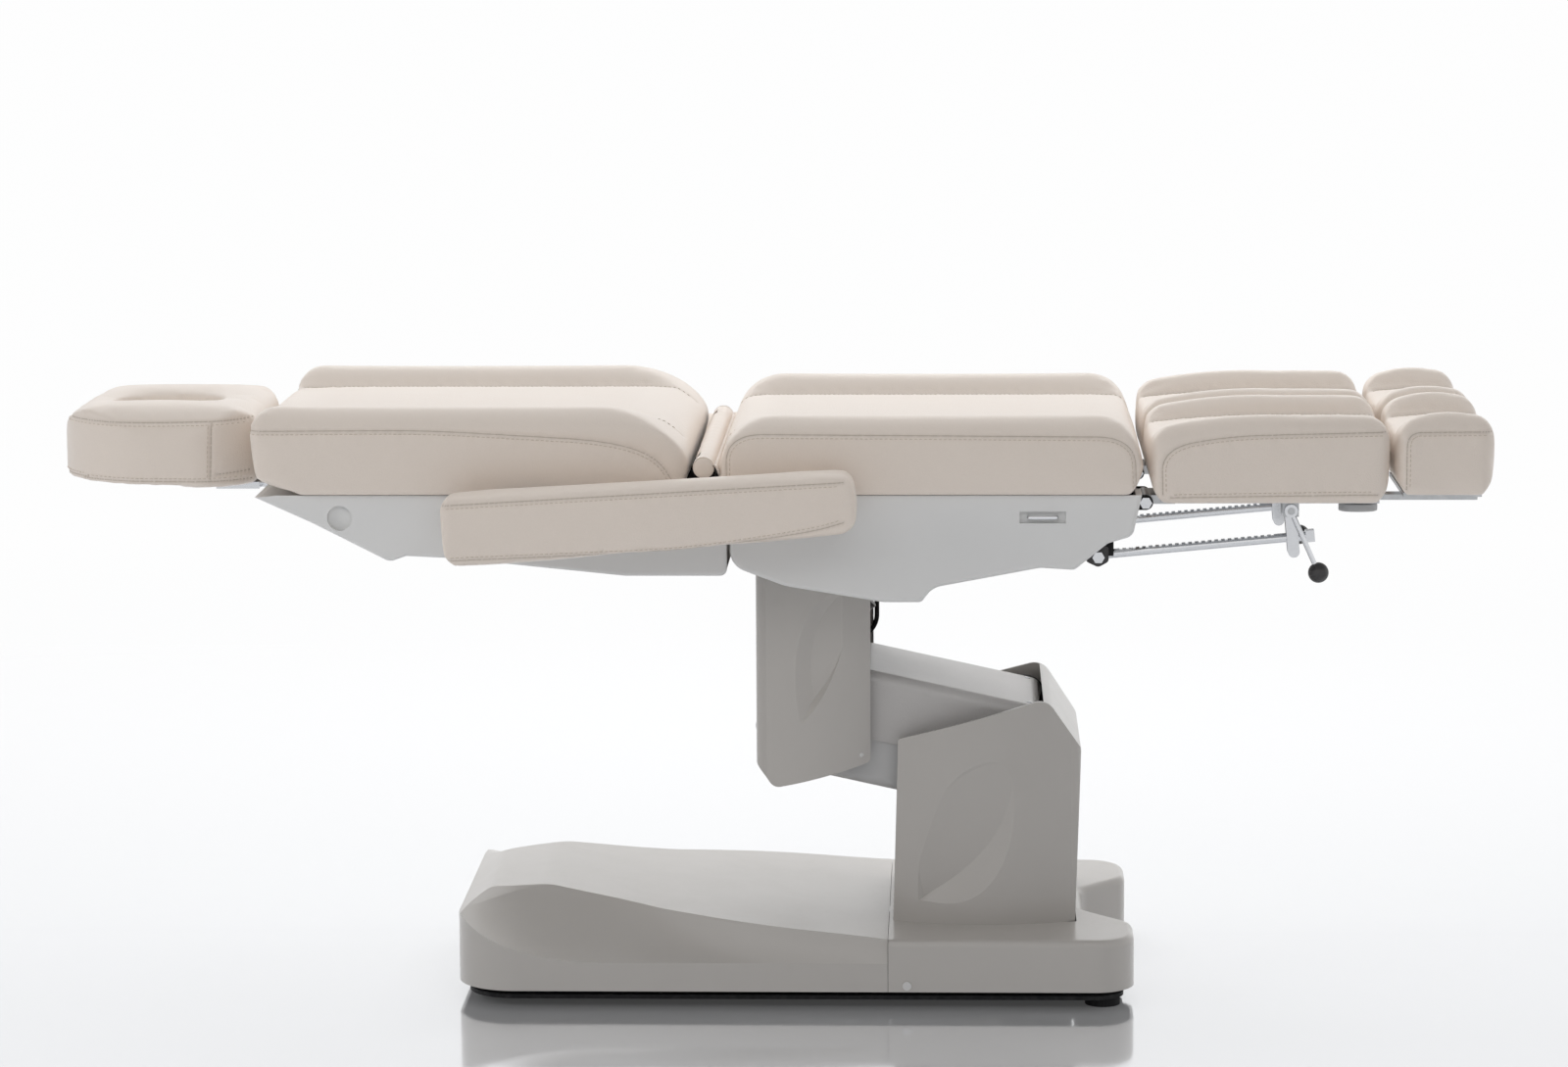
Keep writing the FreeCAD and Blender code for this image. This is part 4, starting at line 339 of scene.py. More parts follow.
@dataclass(frozen=True)
class Finish:
    """One surface finish.

    Attributes:
        name: The material's name.
        color: Main colour, linear.
        roughness: Mean roughness.
        texture: Which surface group gives the fine relief.
        scale: How fine that relief is, per metre.
        depth: Height of the relief in metres.
        tone: How much the colour varies from place to place.
        metallic: 1 for bare or plated metal.
        coat: Clear coat weight.
        coat_roughness: How dull the clear coat is.
        sheen: Soft edge sheen of coated cloth.
        wear: Strength of the edge wear.
        worn: Colour where the edges are worn.
        dust: Strength of the settled dust.
        marks: Strength of the handling marks.
        folds: Whether the piece carries a fold attribute along its seams, the mask of its painted shade.
        fold_shade: How far the colour goes to the darker tone in the folds, as painted shade.
        fold_tone: That darker tone of painted shade, as a share of the main colour.
        mirror: Strength of the plain reflection.
    """

    name: str
    color: Color
    roughness: float
    texture: Texture = Texture.MOULDED
    scale: float = 900.0
    depth: float = 0.0001
    tone: float = 0.05
    metallic: float = 0.0
    coat: float = 0.0
    coat_roughness: float = 0.12
    sheen: float = 0.0
    wear: float = 0.0
    worn: Color = (0.6, 0.6, 0.6)
    dust: float = 0.0
    marks: float = 0.15
    folds: bool = False
    fold_shade: float = 0.45
    fold_tone: float = 0.66
    mirror: float = 0.5

    def shade(self, factor: float) -> tuple[float, float, float, float]:
        """The main colour, lighter or darker, with alpha."""
        return tuple(min(1.0, c * factor) for c in self.color) + (1.0,)

    def material(self) -> bpy.types.Material:
        """Builds the material, or returns the one that exists.

        Returns:
            The material with all its nodes.
        """
        ready = bpy.data.materials.get(self.name)
        if ready:
            return ready
        material = bpy.data.materials.new(self.name)
        material.use_nodes = True
        material.diffuse_color = self.shade(1.0)
        tree = NodeTree(material.node_tree)
        shader = material.node_tree.nodes["Principled BSDF"]
        plain = {"Metallic": self.metallic, "Coat Weight": self.coat, "Coat Roughness": self.coat_roughness,
                 "Sheen Weight": self.sheen, "Specular IOR Level": self.mirror}
        for name, value in plain.items():
            tree.feed(shader, name, value)
        surface = tree.add("Group", node_tree=EFFECTS.get(self.texture), Scale=self.scale)
        tone = surface.outputs["Tone"]
        color = tree.blend(tone, self.shade(1.0 - self.tone), self.shade(1.0 + self.tone))
        # Painted shade: the colour darkens along the seams, following the fold attribute's mask
        if self.folds:
            fold = tree.add("Attribute", attribute_name="fold").outputs["Fac"]
            color = tree.blend(tree.times(fold, self.fold_shade), color, self.shade(self.fold_tone))
        if self.wear:
            color = tree.blend(EFFECTS.mask(tree, Mask.WEAR, self.wear), color, self.worn + (1.0,))
        if self.dust:
            color = tree.blend(EFFECTS.mask(tree, Mask.DUST, self.dust), color, DUST_COLOR)
        tree.feed(shader, "Base Color", color)
        rough = tree.plus(EFFECTS.mask(tree, Mask.MARKS, self.marks), self.roughness)
        tree.feed(shader, "Roughness", tree.plus(rough, tree.times(tone, ROUGHNESS_SPREAD)))
        bump = tree.add("Bump", Height=surface.outputs["Height"], Distance=self.depth, Strength=1.0)
        tree.feed(shader, "Normal", bump.outputs["Normal"])
        return material


# The upholstery carries painted shade along its seam folds
UPHOLSTERY = Finish("cream_upholstery", (0.85, 0.755, 0.67), 0.42, Texture.PEBBLED, 520.0, 0.00022,
                    tone=0.03, coat=0.18, coat_roughness=0.32, sheen=0.16, marks=0.08, folds=True)
SEAM_THREAD = Finish("seam_thread", (0.70, 0.61, 0.52), 0.75, Texture.METAL, 2600.0, 0.0002, tone=0.12)
# Dark tubes laid in the seam folds: painted shadow
SEAM_SHADOW = Finish("seam_shadow_paint", (0.58, 0.50, 0.42), 0.8, Texture.PEBBLED, 700.0, 0.0001, tone=0.08)
BED_COVER = Finish("bed_cover_plastic", (0.79, 0.787, 0.775), 0.34, Texture.MOULDED, 1100.0, 0.00006,
                   tone=0.02, coat=0.08, dust=0.10, marks=0.10)
# Pale plastic of the base and columns: its own colour, set darker and warmer than the same plastic on the
# bed covers as painted shade
SHADED_BASE_PLASTIC = Finish("pale_base_plastic_painted_shade", (0.48, 0.455, 0.427), 0.36, Texture.MOULDED, 1000.0, 0.00007,
                    tone=0.025, coat=0.7, coat_roughness=0.2, dust=0.08, marks=0.10)
ARM_COVER = Finish("stippled_cover_plastic", (0.53, 0.51, 0.495), 0.46, Texture.MOULDED, 420.0, 0.0005,
                   tone=0.03, coat=0.7, coat_roughness=0.25, dust=0.10)
COVER_GREY = Finish("grey_cover_plastic", (0.56, 0.555, 0.55), 0.38, Texture.MOULDED, 900.0, 0.00008,
                    tone=0.03)
SCREW_CAP = Finish("screw_cap_plastic", (0.66, 0.65, 0.64), 0.25, Texture.MOULDED, 900.0, 0.00005,
                   tone=0.03)
BLACK_COAT = Finish("black_powder_coat", (0.008, 0.008, 0.009), 0.5, Texture.MOULDED, 620.0, 0.0003,
                    tone=0.25, wear=0.3, worn=(0.10, 0.10, 0.10), dust=0.04, mirror=0.15)
GREY_STEEL = Finish("zinc_plated_steel", (0.46, 0.47, 0.48), 0.30, Texture.METAL, 900.0, 0.00005,
                    tone=0.10, metallic=1.0, wear=0.3, worn=(0.7, 0.7, 0.7), dust=0.06)
CHROME = Finish("polished_chrome", (0.66, 0.67, 0.69), 0.09, Texture.METAL, 1500.0, 0.00002,
                tone=0.05, metallic=1.0, marks=0.10)
BLACK_PLASTIC = Finish("black_moulded_plastic", (0.040, 0.038, 0.039), 0.36, Texture.MOULDED, 800.0,
                       0.00012, tone=0.2, dust=0.10)
RUBBER = Finish("black_rubber", (0.010, 0.010, 0.011), 0.7, Texture.MOULDED, 500.0, 0.0003, tone=0.25,
                dust=0.05, mirror=0.2)

SLOT_FINISH: dict[str, Finish] = {
    "upholstery": UPHOLSTERY,
    # White plastic parts take the darker copy with painted shade; the bed covers keep the lighter one
    "white_plastic": SHADED_BASE_PLASTIC,
    "grey_plastic": COVER_GREY,
    "black_steel": BLACK_COAT,
    "grey_steel": GREY_STEEL,
    "chrome": CHROME,
    "black_plastic": BLACK_PLASTIC,
    "rubber": RUBBER,
}
NODE_FINISH: dict[str, Finish] = {
    "arm_top_cover": ARM_COVER,
    "seat_cover": BED_COVER,
    "backrest_cover": BED_COVER,
    "base_screws": SCREW_CAP,
    "hinge_rod": BLACK_COAT,
}


# Mesh helpers

def vertex_rows(mesh: bpy.types.Mesh, what: str) -> np.ndarray:
    """One property of all the points of a mesh.

    Args:
        mesh: The mesh.
        what: The property: co or normal.

    Returns:
        An array with a row for each point.
    """
    flat = np.empty(len(mesh.vertices) * 3, np.float32)
    mesh.vertices.foreach_get(what, flat)
    return flat.reshape(-1, 3).astype(float)


def coordinates(mesh: bpy.types.Mesh) -> np.ndarray:
    """The mesh's points as rows."""
    return vertex_rows(mesh, "co")


def normals(mesh: bpy.types.Mesh) -> np.ndarray:
    """The mesh's point normals as rows."""
    return vertex_rows(mesh, "normal")


def put_coordinates(mesh: bpy.types.Mesh, points: np.ndarray) -> None:
    """Writes points back into a mesh."""
    mesh.vertices.foreach_set("co", points.astype(np.float32).ravel())
    mesh.update()


def add_object(name: str, mesh: bpy.types.Mesh) -> bpy.types.Object:
    """Puts a mesh into the scene, shaded smooth.

    Args:
        name: The object's name.
        mesh: Its mesh.

    Returns:
        The new object.
    """
    item = bpy.data.objects.new(name, mesh)
    bpy.context.scene.collection.objects.link(item)
    mesh.shade_smooth()
    return item


def make_object(name: str, points: list, faces: list, *finishes: Finish) -> bpy.types.Object:
    """Makes an object from points and faces.

    Args:
        name: The object's name.
        points: Its points.
        faces: Its faces, as numbers of points.
        finishes: The finishes that its faces can have.

    Returns:
        The new object.
    """
    mesh = bpy.data.meshes.new(name)
    mesh.from_pydata([tuple(point) for point in points], [], faces)
    for finish in finishes:
        mesh.materials.append(finish.material())
    return add_object(name, mesh)


def ring_faces(start: int, rings: int, sides: int) -> list[tuple[int, ...]]:
    """The faces between rings of points that follow each other.

    Args:
        start: Number of the first ring's first point.
        rings: How many rings there are.
        sides: How many points a ring has.

    Returns:
        The faces, ring by ring.
    """
    faces = []
    for low in range(start, start + (rings - 1) * sides, sides):
        for k in range(sides):
            after = (k + 1) % sides
            faces.append((low + k, low + after, low + sides + after, low + sides + k))
    return faces


def with_modifiers(item: bpy.types.Object) -> bpy.types.Mesh:
    """Works out an item's modifiers.

    Args:
        item: The item, which stays as it is.

    Returns:
        A new mesh with the modifiers applied.
    """
    graph = bpy.context.evaluated_depsgraph_get()
    graph.update()
    return bpy.data.meshes.new_from_object(item.evaluated_get(graph))


def apply_modifiers(item: bpy.types.Object) -> None:
    """Bakes an item's modifiers into its mesh.

    Args:
        item: The item, which loses its modifiers.
    """
    mesh = with_modifiers(item)
    item.modifiers.clear()
    old = item.data
    item.data = mesh
    bpy.data.meshes.remove(old)
    mesh.shade_smooth()


# Points of a rounded corner
CORNER_POINTS = 12


def rounded_path(points: tuple[Point2, ...], radius: float, step: float) -> list[Point2]:
    """A path with rounded corners, sampled evenly.

    Args:
        points: The corners.
        radius: How far before and after a corner the rounding reaches.
        step: Distance between samples.

    Returns:
        Points along the path.
    """
    dense: list[np.ndarray] = [np.array(points[0])]
    for before, corner, after in zip(points, points[1:], points[2:]):
        a, b, c = (np.array(p) for p in (before, corner, after))
        reach_in = min(radius, np.linalg.norm(a - b) / 2)
        reach_out = min(radius, np.linalg.norm(c - b) / 2)
        start = b + (a - b) / np.linalg.norm(a - b) * reach_in
        end = b + (c - b) / np.linalg.norm(c - b) * reach_out
        for t in np.linspace(0, 1, CORNER_POINTS):
            dense.append((1 - t) ** 2 * start + 2 * t * (1 - t) * b + t ** 2 * end)
    dense.append(np.array(points[-1]))
    line = np.array(dense)
    run = np.concatenate([[0.0], np.cumsum(np.linalg.norm(np.diff(line, axis=0), axis=1))])
    places = np.linspace(0, run[-1], max(2, int(run[-1] / step) + 1))
    return list(zip(np.interp(places, run, line[:, 0]), np.interp(places, run, line[:, 1])))


# Distance between the points of a seam, and between those of a row of stitches
SEAM_STEP = 0.004
STITCH_STEP = 0.0011
# Distance from a fold to its stitches, on the sides and at a raised side's foot
STITCH_ASIDE = 0.0045
CHANNEL_ASIDE = 0.005
# A distance that is outside the chair on every side
OUTSIDE = 1.5


@dataclass(frozen=True)
class Seam:
    """A sewn line on one side of a cushion.

    Attributes:
        face: The side that it lies on.
        points: Its corners in that side's plane.
        radius: Rounding of the corners.
        stitched: Whether a row of stitches runs beside the fold.
        beside: Distance from the fold to the stitches, to the right of the run.
    """

    face: Face
    points: tuple[Point2, ...]
    radius: float = 0.03
    stitched: bool = True
    beside: float = STITCH_ASIDE

    def mirrored(self) -> "Seam":
        """The same seam of a long side or the top, on the other side of the middle plane.

        Returns:
            A new seam.
        """
        if self.face in (Face.RIGHT, Face.LEFT):
            other = Face.LEFT if self.face is Face.RIGHT else Face.RIGHT
            return Seam(other, self.points, self.radius, self.stitched, self.beside)
        across = tuple((a, -b) for a, b in self.points)
        return Seam(self.face, across, self.radius, self.stitched, -self.beside)

    def on(self, tree: BVHTree, aside: float = 0.0, step: float = SEAM_STEP) -> list[tuple[Vector, Vector]]:
        """The seam laid on a surface.

        Args:
            tree: The surface.
            aside: Shift to the right of the run, in the side's plane.
            step: Distance between samples.

        Returns:
            Points on the surface with their normals.
        """
        line = rounded_path(self.points, self.radius, step)
        flat = np.array(line)
        along = np.gradient(flat, axis=0)
        along /= np.maximum(np.linalg.norm(along, axis=1), 1e-9)[:, None]
        flat = flat + np.stack([along[:, 1], -along[:, 0]], axis=1) * aside
        inward = -Vector(self.face.value)
        found = []
        for a, b in flat:
            place, normal, _, _ = tree.ray_cast(self.face.place(a, b, OUTSIDE), inward, 2 * OUTSIDE)
            if place is not None:
                found.append((place, normal))
        return found


def straight(face: Face, start: float, end: float, level: float, beside: float = STITCH_ASIDE) -> Seam:
    """A straight seam at one height or, on the top, at one distance from the middle plane."""
    return Seam(face, ((start, level), (end, level)), beside=beside)


def surface_tree(mesh: bpy.types.Mesh) -> BVHTree:
    """A search tree of a mesh's faces."""
    points = [vertex.co.copy() for vertex in mesh.vertices]
    return BVHTree.FromPolygons(points, [tuple(face.vertices) for face in mesh.polygons])


@dataclass
class ThreadWork:
    """Stitches and the painted shadow lines in the seam folds of one cushion, gathered into one mesh.

    Attributes:
        length: Length of a stitch.
        pitch: Distance from stitch to stitch.
        radius: Thickness of the thread, halved.
        sides: Sides of a thread's section.
        rise: How far a stitch stands out, as a share of the thread's radius.
        dive: How far its ends go in, as a share of the thread's radius.
        edge: Thickness of the dark painted shadow line in a fold, halved.
        bury: How far that shadow line lies in the fold, as a share of its radius.
        points: Points of all the threads.
        faces: Faces of all the threads.
        finishes: For each face, 0 for thread and 1 for the painted shadow line in a fold.
    """

    length: float = 0.0046
    pitch: float = 0.0066
    radius: float = 0.00062
    sides: int = 6
    rise: float = 0.55
    dive: float = 0.9
    edge: float = 0.00075
    bury: float = 0.45
    points: list[Vector] = field(default_factory=list)
    faces: list[tuple[int, ...]] = field(default_factory=list)
    finishes: list[int] = field(default_factory=list)

    def ring(self, middle: Vector, along: Vector, up: Vector, radius: float) -> None:
        """Adds one ring of points round a line.

        Args:
            middle: Middle of the ring.
            along: The line's direction.
            up: Direction away from the cushion.
            radius: Radius of the ring.
        """
        across = along.cross(up).normalized()
        for k in range(self.sides):
            turn = 2 * math.pi * k / self.sides
            self.points.append(middle + (across * math.cos(turn) + up * math.sin(turn)) * radius)

    def tube(self, rings: int, finish: int) -> None:
        """Skins the last rings into a closed tube.

        Args:
            rings: How many rings the tube has.
            finish: 0 for thread, 1 for the painted shadow line in a fold.
        """
        end = len(self.points)
        start = end - rings * self.sides
        tube = ring_faces(start, rings, self.sides)
        tube.append(tuple(range(start + self.sides - 1, start - 1, -1)))
        tube.append(tuple(range(end - self.sides, end)))
        self.faces += tube
        self.finishes += [finish] * len(tube)

    def stitches(self, line: list[tuple[Vector, Vector]], step: float) -> None:
        """Adds a row of stitches along a line on the surface.

        Args:
            line: Points with normals, a step apart.
            step: Distance between those points.
        """
        every = max(1, round(self.pitch / step))
        widest_gap = 6 * step
        # Places along a stitch, with the thread's thickness there
        thread = ((-0.5, 0.4), (-0.3, 1.0), (0.3, 1.0), (0.5, 0.4))
        for k in range(every, len(line) - every, every):
            place, normal = line[k]
            ahead = line[k + 1][0] - line[k - 1][0]
            if ahead.length > widest_gap:
                continue
            along = ahead.normalized()
            lift = normal * self.radius * self.rise
            for share, size in thread:
                sink = normal * (self.radius * self.dive * (abs(share) > 0.4))
                middle = place + lift - sink + along * self.length * share
                self.ring(middle, along, normal, self.radius * size)
            self.tube(len(thread), 0)

    def fold(self, line: list[tuple[Vector, Vector]]) -> None:
        """Adds a thin dark tube in a seam's fold, as painted shadow.

        Args:
            line: Points of the fold with their normals.
        """
        if len(line) < 4:
            return
        for k, (place, normal) in enumerate(line):
            ahead = line[min(k + 1, len(line) - 1)][0]
            behind = line[max(k - 1, 0)][0]
            # A dark tube sunk into the fold, as painted shadow
            middle = place - normal * self.edge * self.bury
            self.ring(middle, (ahead - behind).normalized(), normal, self.edge)
        self.tube(len(line), 1)

    def build(self, name: str, body: str) -> None:
        """Makes the piece and rides it on its body.

        Args:
            name: The piece's name.
            body: The body that the cushion rides on.
        """
        # Second finish: the painted shadow in the seam folds
        item = make_object(name, self.points, self.faces, SEAM_THREAD, SEAM_SHADOW)
        item.data.polygons.foreach_set("material_index", self.finishes)
        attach(item, body)


@dataclass
class Cushion:
    """An upholstered foam piece that stands for a soft solid.

    Attributes:
        node: The solid that it stands for, and the piece's name with _cover added.
        body: The body that it rides on.
        seams: Its sewn lines.
        voxel: Fineness of its skin.
        shrink: How far the skin starts inside the solid.
        cap: The most that a point may move as the foam fills it.
        end_cap: The same, lengthways, where the next cushion is near.
        pressure: Pressure of the foam.
        fill: How tight it is; not used.
        held: Distance from a seam within which the foam can't swell.
        frames: Steps of the filling.
        depth: Depth of the seam folds.
        width: Width of the seam folds.
        shade: Width of the painted shade line along a seam's fold.
        pucker: Height of the small waves beside the seams.
        pucker_away: Distance of those waves from the seam, and their width.
        pucker_reach: Distance from a seam beyond which nothing is pressed.
        waves: Lengths of the long and the short waves.
        short_share: Height of the short waves, as a share of the long ones'.
        flat_under: Height above the underside that is held flat.
        under_band: Height above the shrunk underside within which points are made level.
        under_gap: Height of the level underside above the solid's.
        evening: Rounds of smoothing of the first skin.
        last_evening: Rounds of smoothing of the filled skin.
        dip: How far the top falls off to the head end.
        dip_reach: The length over which it falls off.
        dip_start: Share of the height at which the fall starts.
    """

    node: str
    body: str
    seams: list[Seam]
    voxel: float = 0.0065
    shrink: float = 0.0022
    cap: float = 0.0062
    end_cap: float = 0.0032
    pressure: float = 5.0
    fill: float = 0.85
    held: float = 0.006
    frames: int = 20
    depth: float = 0.0017
    width: float = 0.0032
    shade: float = 0.0024
    pucker: float = 0.0003
    pucker_away: float = 0.008
    pucker_reach: float = 0.03
    waves: Point2 = (0.031, 0.019)
    short_share: float = 0.6
    flat_under: float = 0.006
    under_band: float = 0.0015
    under_gap: float = 0.0002
    evening: int = 12
    last_evening: int = 3
    dip: float = 0.0
    dip_reach: float = 0.12
    dip_start: float = 0.35

    def skin(self) -> bpy.types.Object:
        """An even closed skin just inside the solid.

        Returns:
            The new object.
        """
        item = add_object(self.node + "_cover", frame["nodes"][self.node].data.copy())
        item.data.materials.clear()
        remesh = item.modifiers.new("skin", "REMESH")
        remesh.mode = "VOXEL"
        remesh.voxel_size = self.voxel
        smooth = item.modifiers.new("even", "SMOOTH")
        smooth.factor = 0.5
        smooth.iterations = self.evening
        inside = item.modifiers.new("inside", "DISPLACE")
        inside.mid_level = 0.0
        inside.strength = -self.shrink
        apply_modifiers(item)
        points = coordinates(item.data)
        floor = min(v.co.z for v in frame["nodes"][self.node].data.vertices)
        if self.flat_under:
            under = points[:, 2] < floor + self.shrink + self.under_band
            points[under, 2] = floor + self.under_gap
        height = (points[:, 2] - floor) / (points[:, 2].max() - floor)
        share = np.clip(height - self.dip_start, 0.0, None) / (1.0 - self.dip_start)
        near = np.clip(1.0 - (points[:, 0] - points[:, 0].min()) / self.dip_reach, 0.0, 1.0)
        points[:, 2] -= self.dip * share * near ** 2
        put_coordinates(item.data, points)
        return item

    def seam_points(self, mesh: bpy.types.Mesh) -> tuple[KDTree, np.ndarray]:
        """All seam points on a mesh.

        Args:
            mesh: The cushion's mesh.

        Returns:
            A search tree of the points, and each point's run along its seam.
        """
        tree = surface_tree(mesh)
        places, runs = [], []
        for seam in self.seams:
            for k, (place, _) in enumerate(seam.on(tree)):
                places.append(place)
                runs.append(k * SEAM_STEP)
        search = KDTree(max(1, len(places)))
        for k, place in enumerate(places):
            search.insert(place, k)
        search.balance()
        return search, np.array(runs)

    def swell(self, item: bpy.types.Object) -> None:
        """Fills the skin with pressed foam: seams and the underside hold, the rest swells.

        Args:
            item: The skin.
        """
        mesh = item.data
        rest = coordinates(mesh)
        search, _ = self.seam_points(mesh)
        near = np.array([search.find(p)[2] or 1.0 for p in rest])
        low = rest[:, 2].min()
        still = (near < self.held) | (rest[:, 2] < low + self.flat_under)
        group = item.vertex_groups.new(name="held")
        group.add([int(k) for k in np.nonzero(still)[0]], 1.0, "REPLACE")
        cloth = item.modifiers.new("foam", "CLOTH")
        cloth.settings.quality = 4
        cloth.settings.use_pressure = True
        cloth.settings.uniform_pressure_force = self.pressure
        cloth.settings.effector_weights.gravity = 0.0
        cloth.settings.vertex_group_mass = group.name
        cloth.point_cache.frame_start = 1
        cloth.point_cache.frame_end = self.frames
        scene = bpy.context.scene
        for number in range(1, self.frames + 1):
            scene.frame_set(number)
        moved = coordinates(with_modifiers(item)) - rest
        scene.frame_set(1)
        item.modifiers.clear()
        item.vertex_groups.clear()
        length = np.maximum(np.linalg.norm(moved, axis=1), 1e-9)
        moved *= np.minimum(1.0, self.cap / length)[:, None]
        moved[:, 0] = np.clip(moved[:, 0], -self.end_cap, self.end_cap)
        put_coordinates(mesh, rest + moved)

    def pressed(self, run: float, away: float) -> float:
        """How far a point beside a seam moves outwards.

        Args:
            run: Where it is along the seam.
            away: Its distance from the seam.

        Returns:
            The small waves beside the seam, less the fold.
        """
        long, short = (math.sin(run * 2 * math.pi / length) for length in self.waves)
        wave = long + self.short_share * short
        push = self.pucker * wave * math.exp(-((away - self.pucker_away) / self.pucker_away) ** 2)
        return push - self.depth * math.exp(-(away / self.width) ** 2)

    def refine(self, item: bpy.types.Object) -> None:
        """Smooths the skin, divides it once, presses in the seams and lays a mask of painted shade along
        them.

        Args:
            item: The filled skin.
        """
        smooth = item.modifiers.new("even", "SMOOTH")
        smooth.factor = 0.5
        smooth.iterations = self.last_evening
        finer = item.modifiers.new("finer", "SUBSURF")
        finer.levels = finer.render_levels = 1
        apply_modifiers(item)
        mesh = item.data
        points, out = coordinates(mesh), normals(mesh)
        fold = np.zeros(len(points), np.float32)
        if self.seams:
            search, runs = self.seam_points(mesh)
            for k, point in enumerate(points):
                _, index, away = search.find(point)
                if away is None or away > self.pucker_reach:
                    continue
                points[k] += out[k] * self.pressed(runs[index], away)
                # Mask of painted shade along the seam, strongest in the fold
                fold[k] = math.exp(-(away / self.shade) ** 2)
            put_coordinates(mesh, points)
        mesh.attributes.new("fold", "FLOAT", "POINT").data.foreach_set("value", fold)

    def sew(self, mesh: bpy.types.Mesh) -> ThreadWork:
        """Lays the painted shadow lines in the folds and the stitches on the finished skin.

        Args:
            mesh: The finished skin.

        Returns:
            The gathered threads.
        """
        work = ThreadWork()
        tree = surface_tree(mesh)
        for seam in self.seams:
            work.fold(seam.on(tree))
            if seam.stitched:
                work.stitches(seam.on(tree, seam.beside, STITCH_STEP), STITCH_STEP)
        return work

    def dress(self, item: bpy.types.Object, node: str, body: str) -> None:
        """Gives the piece its finish and its body, and hides its solid.

        Args:
            item: The piece.
            node: The solid that it stands for.
            body: The body that it rides on.
        """
        item.data.materials.clear()
        item.data.materials.append(UPHOLSTERY.material())
        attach(item, body)
        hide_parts(node)
        LOG.info("%s on %s: %d points", item.name, body, len(item.data.vertices))

    def build(self) -> bpy.types.Object:
        """Makes the cushion with its seams.

        Returns:
            The finished cushion.
        """
        item = self.skin()
        self.swell(item)
        self.refine(item)
        self.dress(item, self.node, self.body)
        if self.seams:
            self.sew(item.data).build(self.node + "_seams", self.body)
        return item

    def twin(self, item: bpy.types.Object, node: str, body: str) -> None:
        """The same cushion on the other side of the middle plane.

        Args:
            item: The finished cushion.
            node: The solid that the twin stands for.
            body: The body that the twin rides on.
        """
        mesh = item.data.copy()
        points = coordinates(mesh)
        points[:, 1] *= -1
        put_coordinates(mesh, points)
        mesh.flip_normals()
        other = add_object(node + "_cover", mesh)
        self.dress(other, node, body)
        there = Cushion(node, body, [seam.mirrored() for seam in self.seams])
        if there.seams:
            there.sew(mesh).build(node + "_seams", body)


# Sub-assemblies

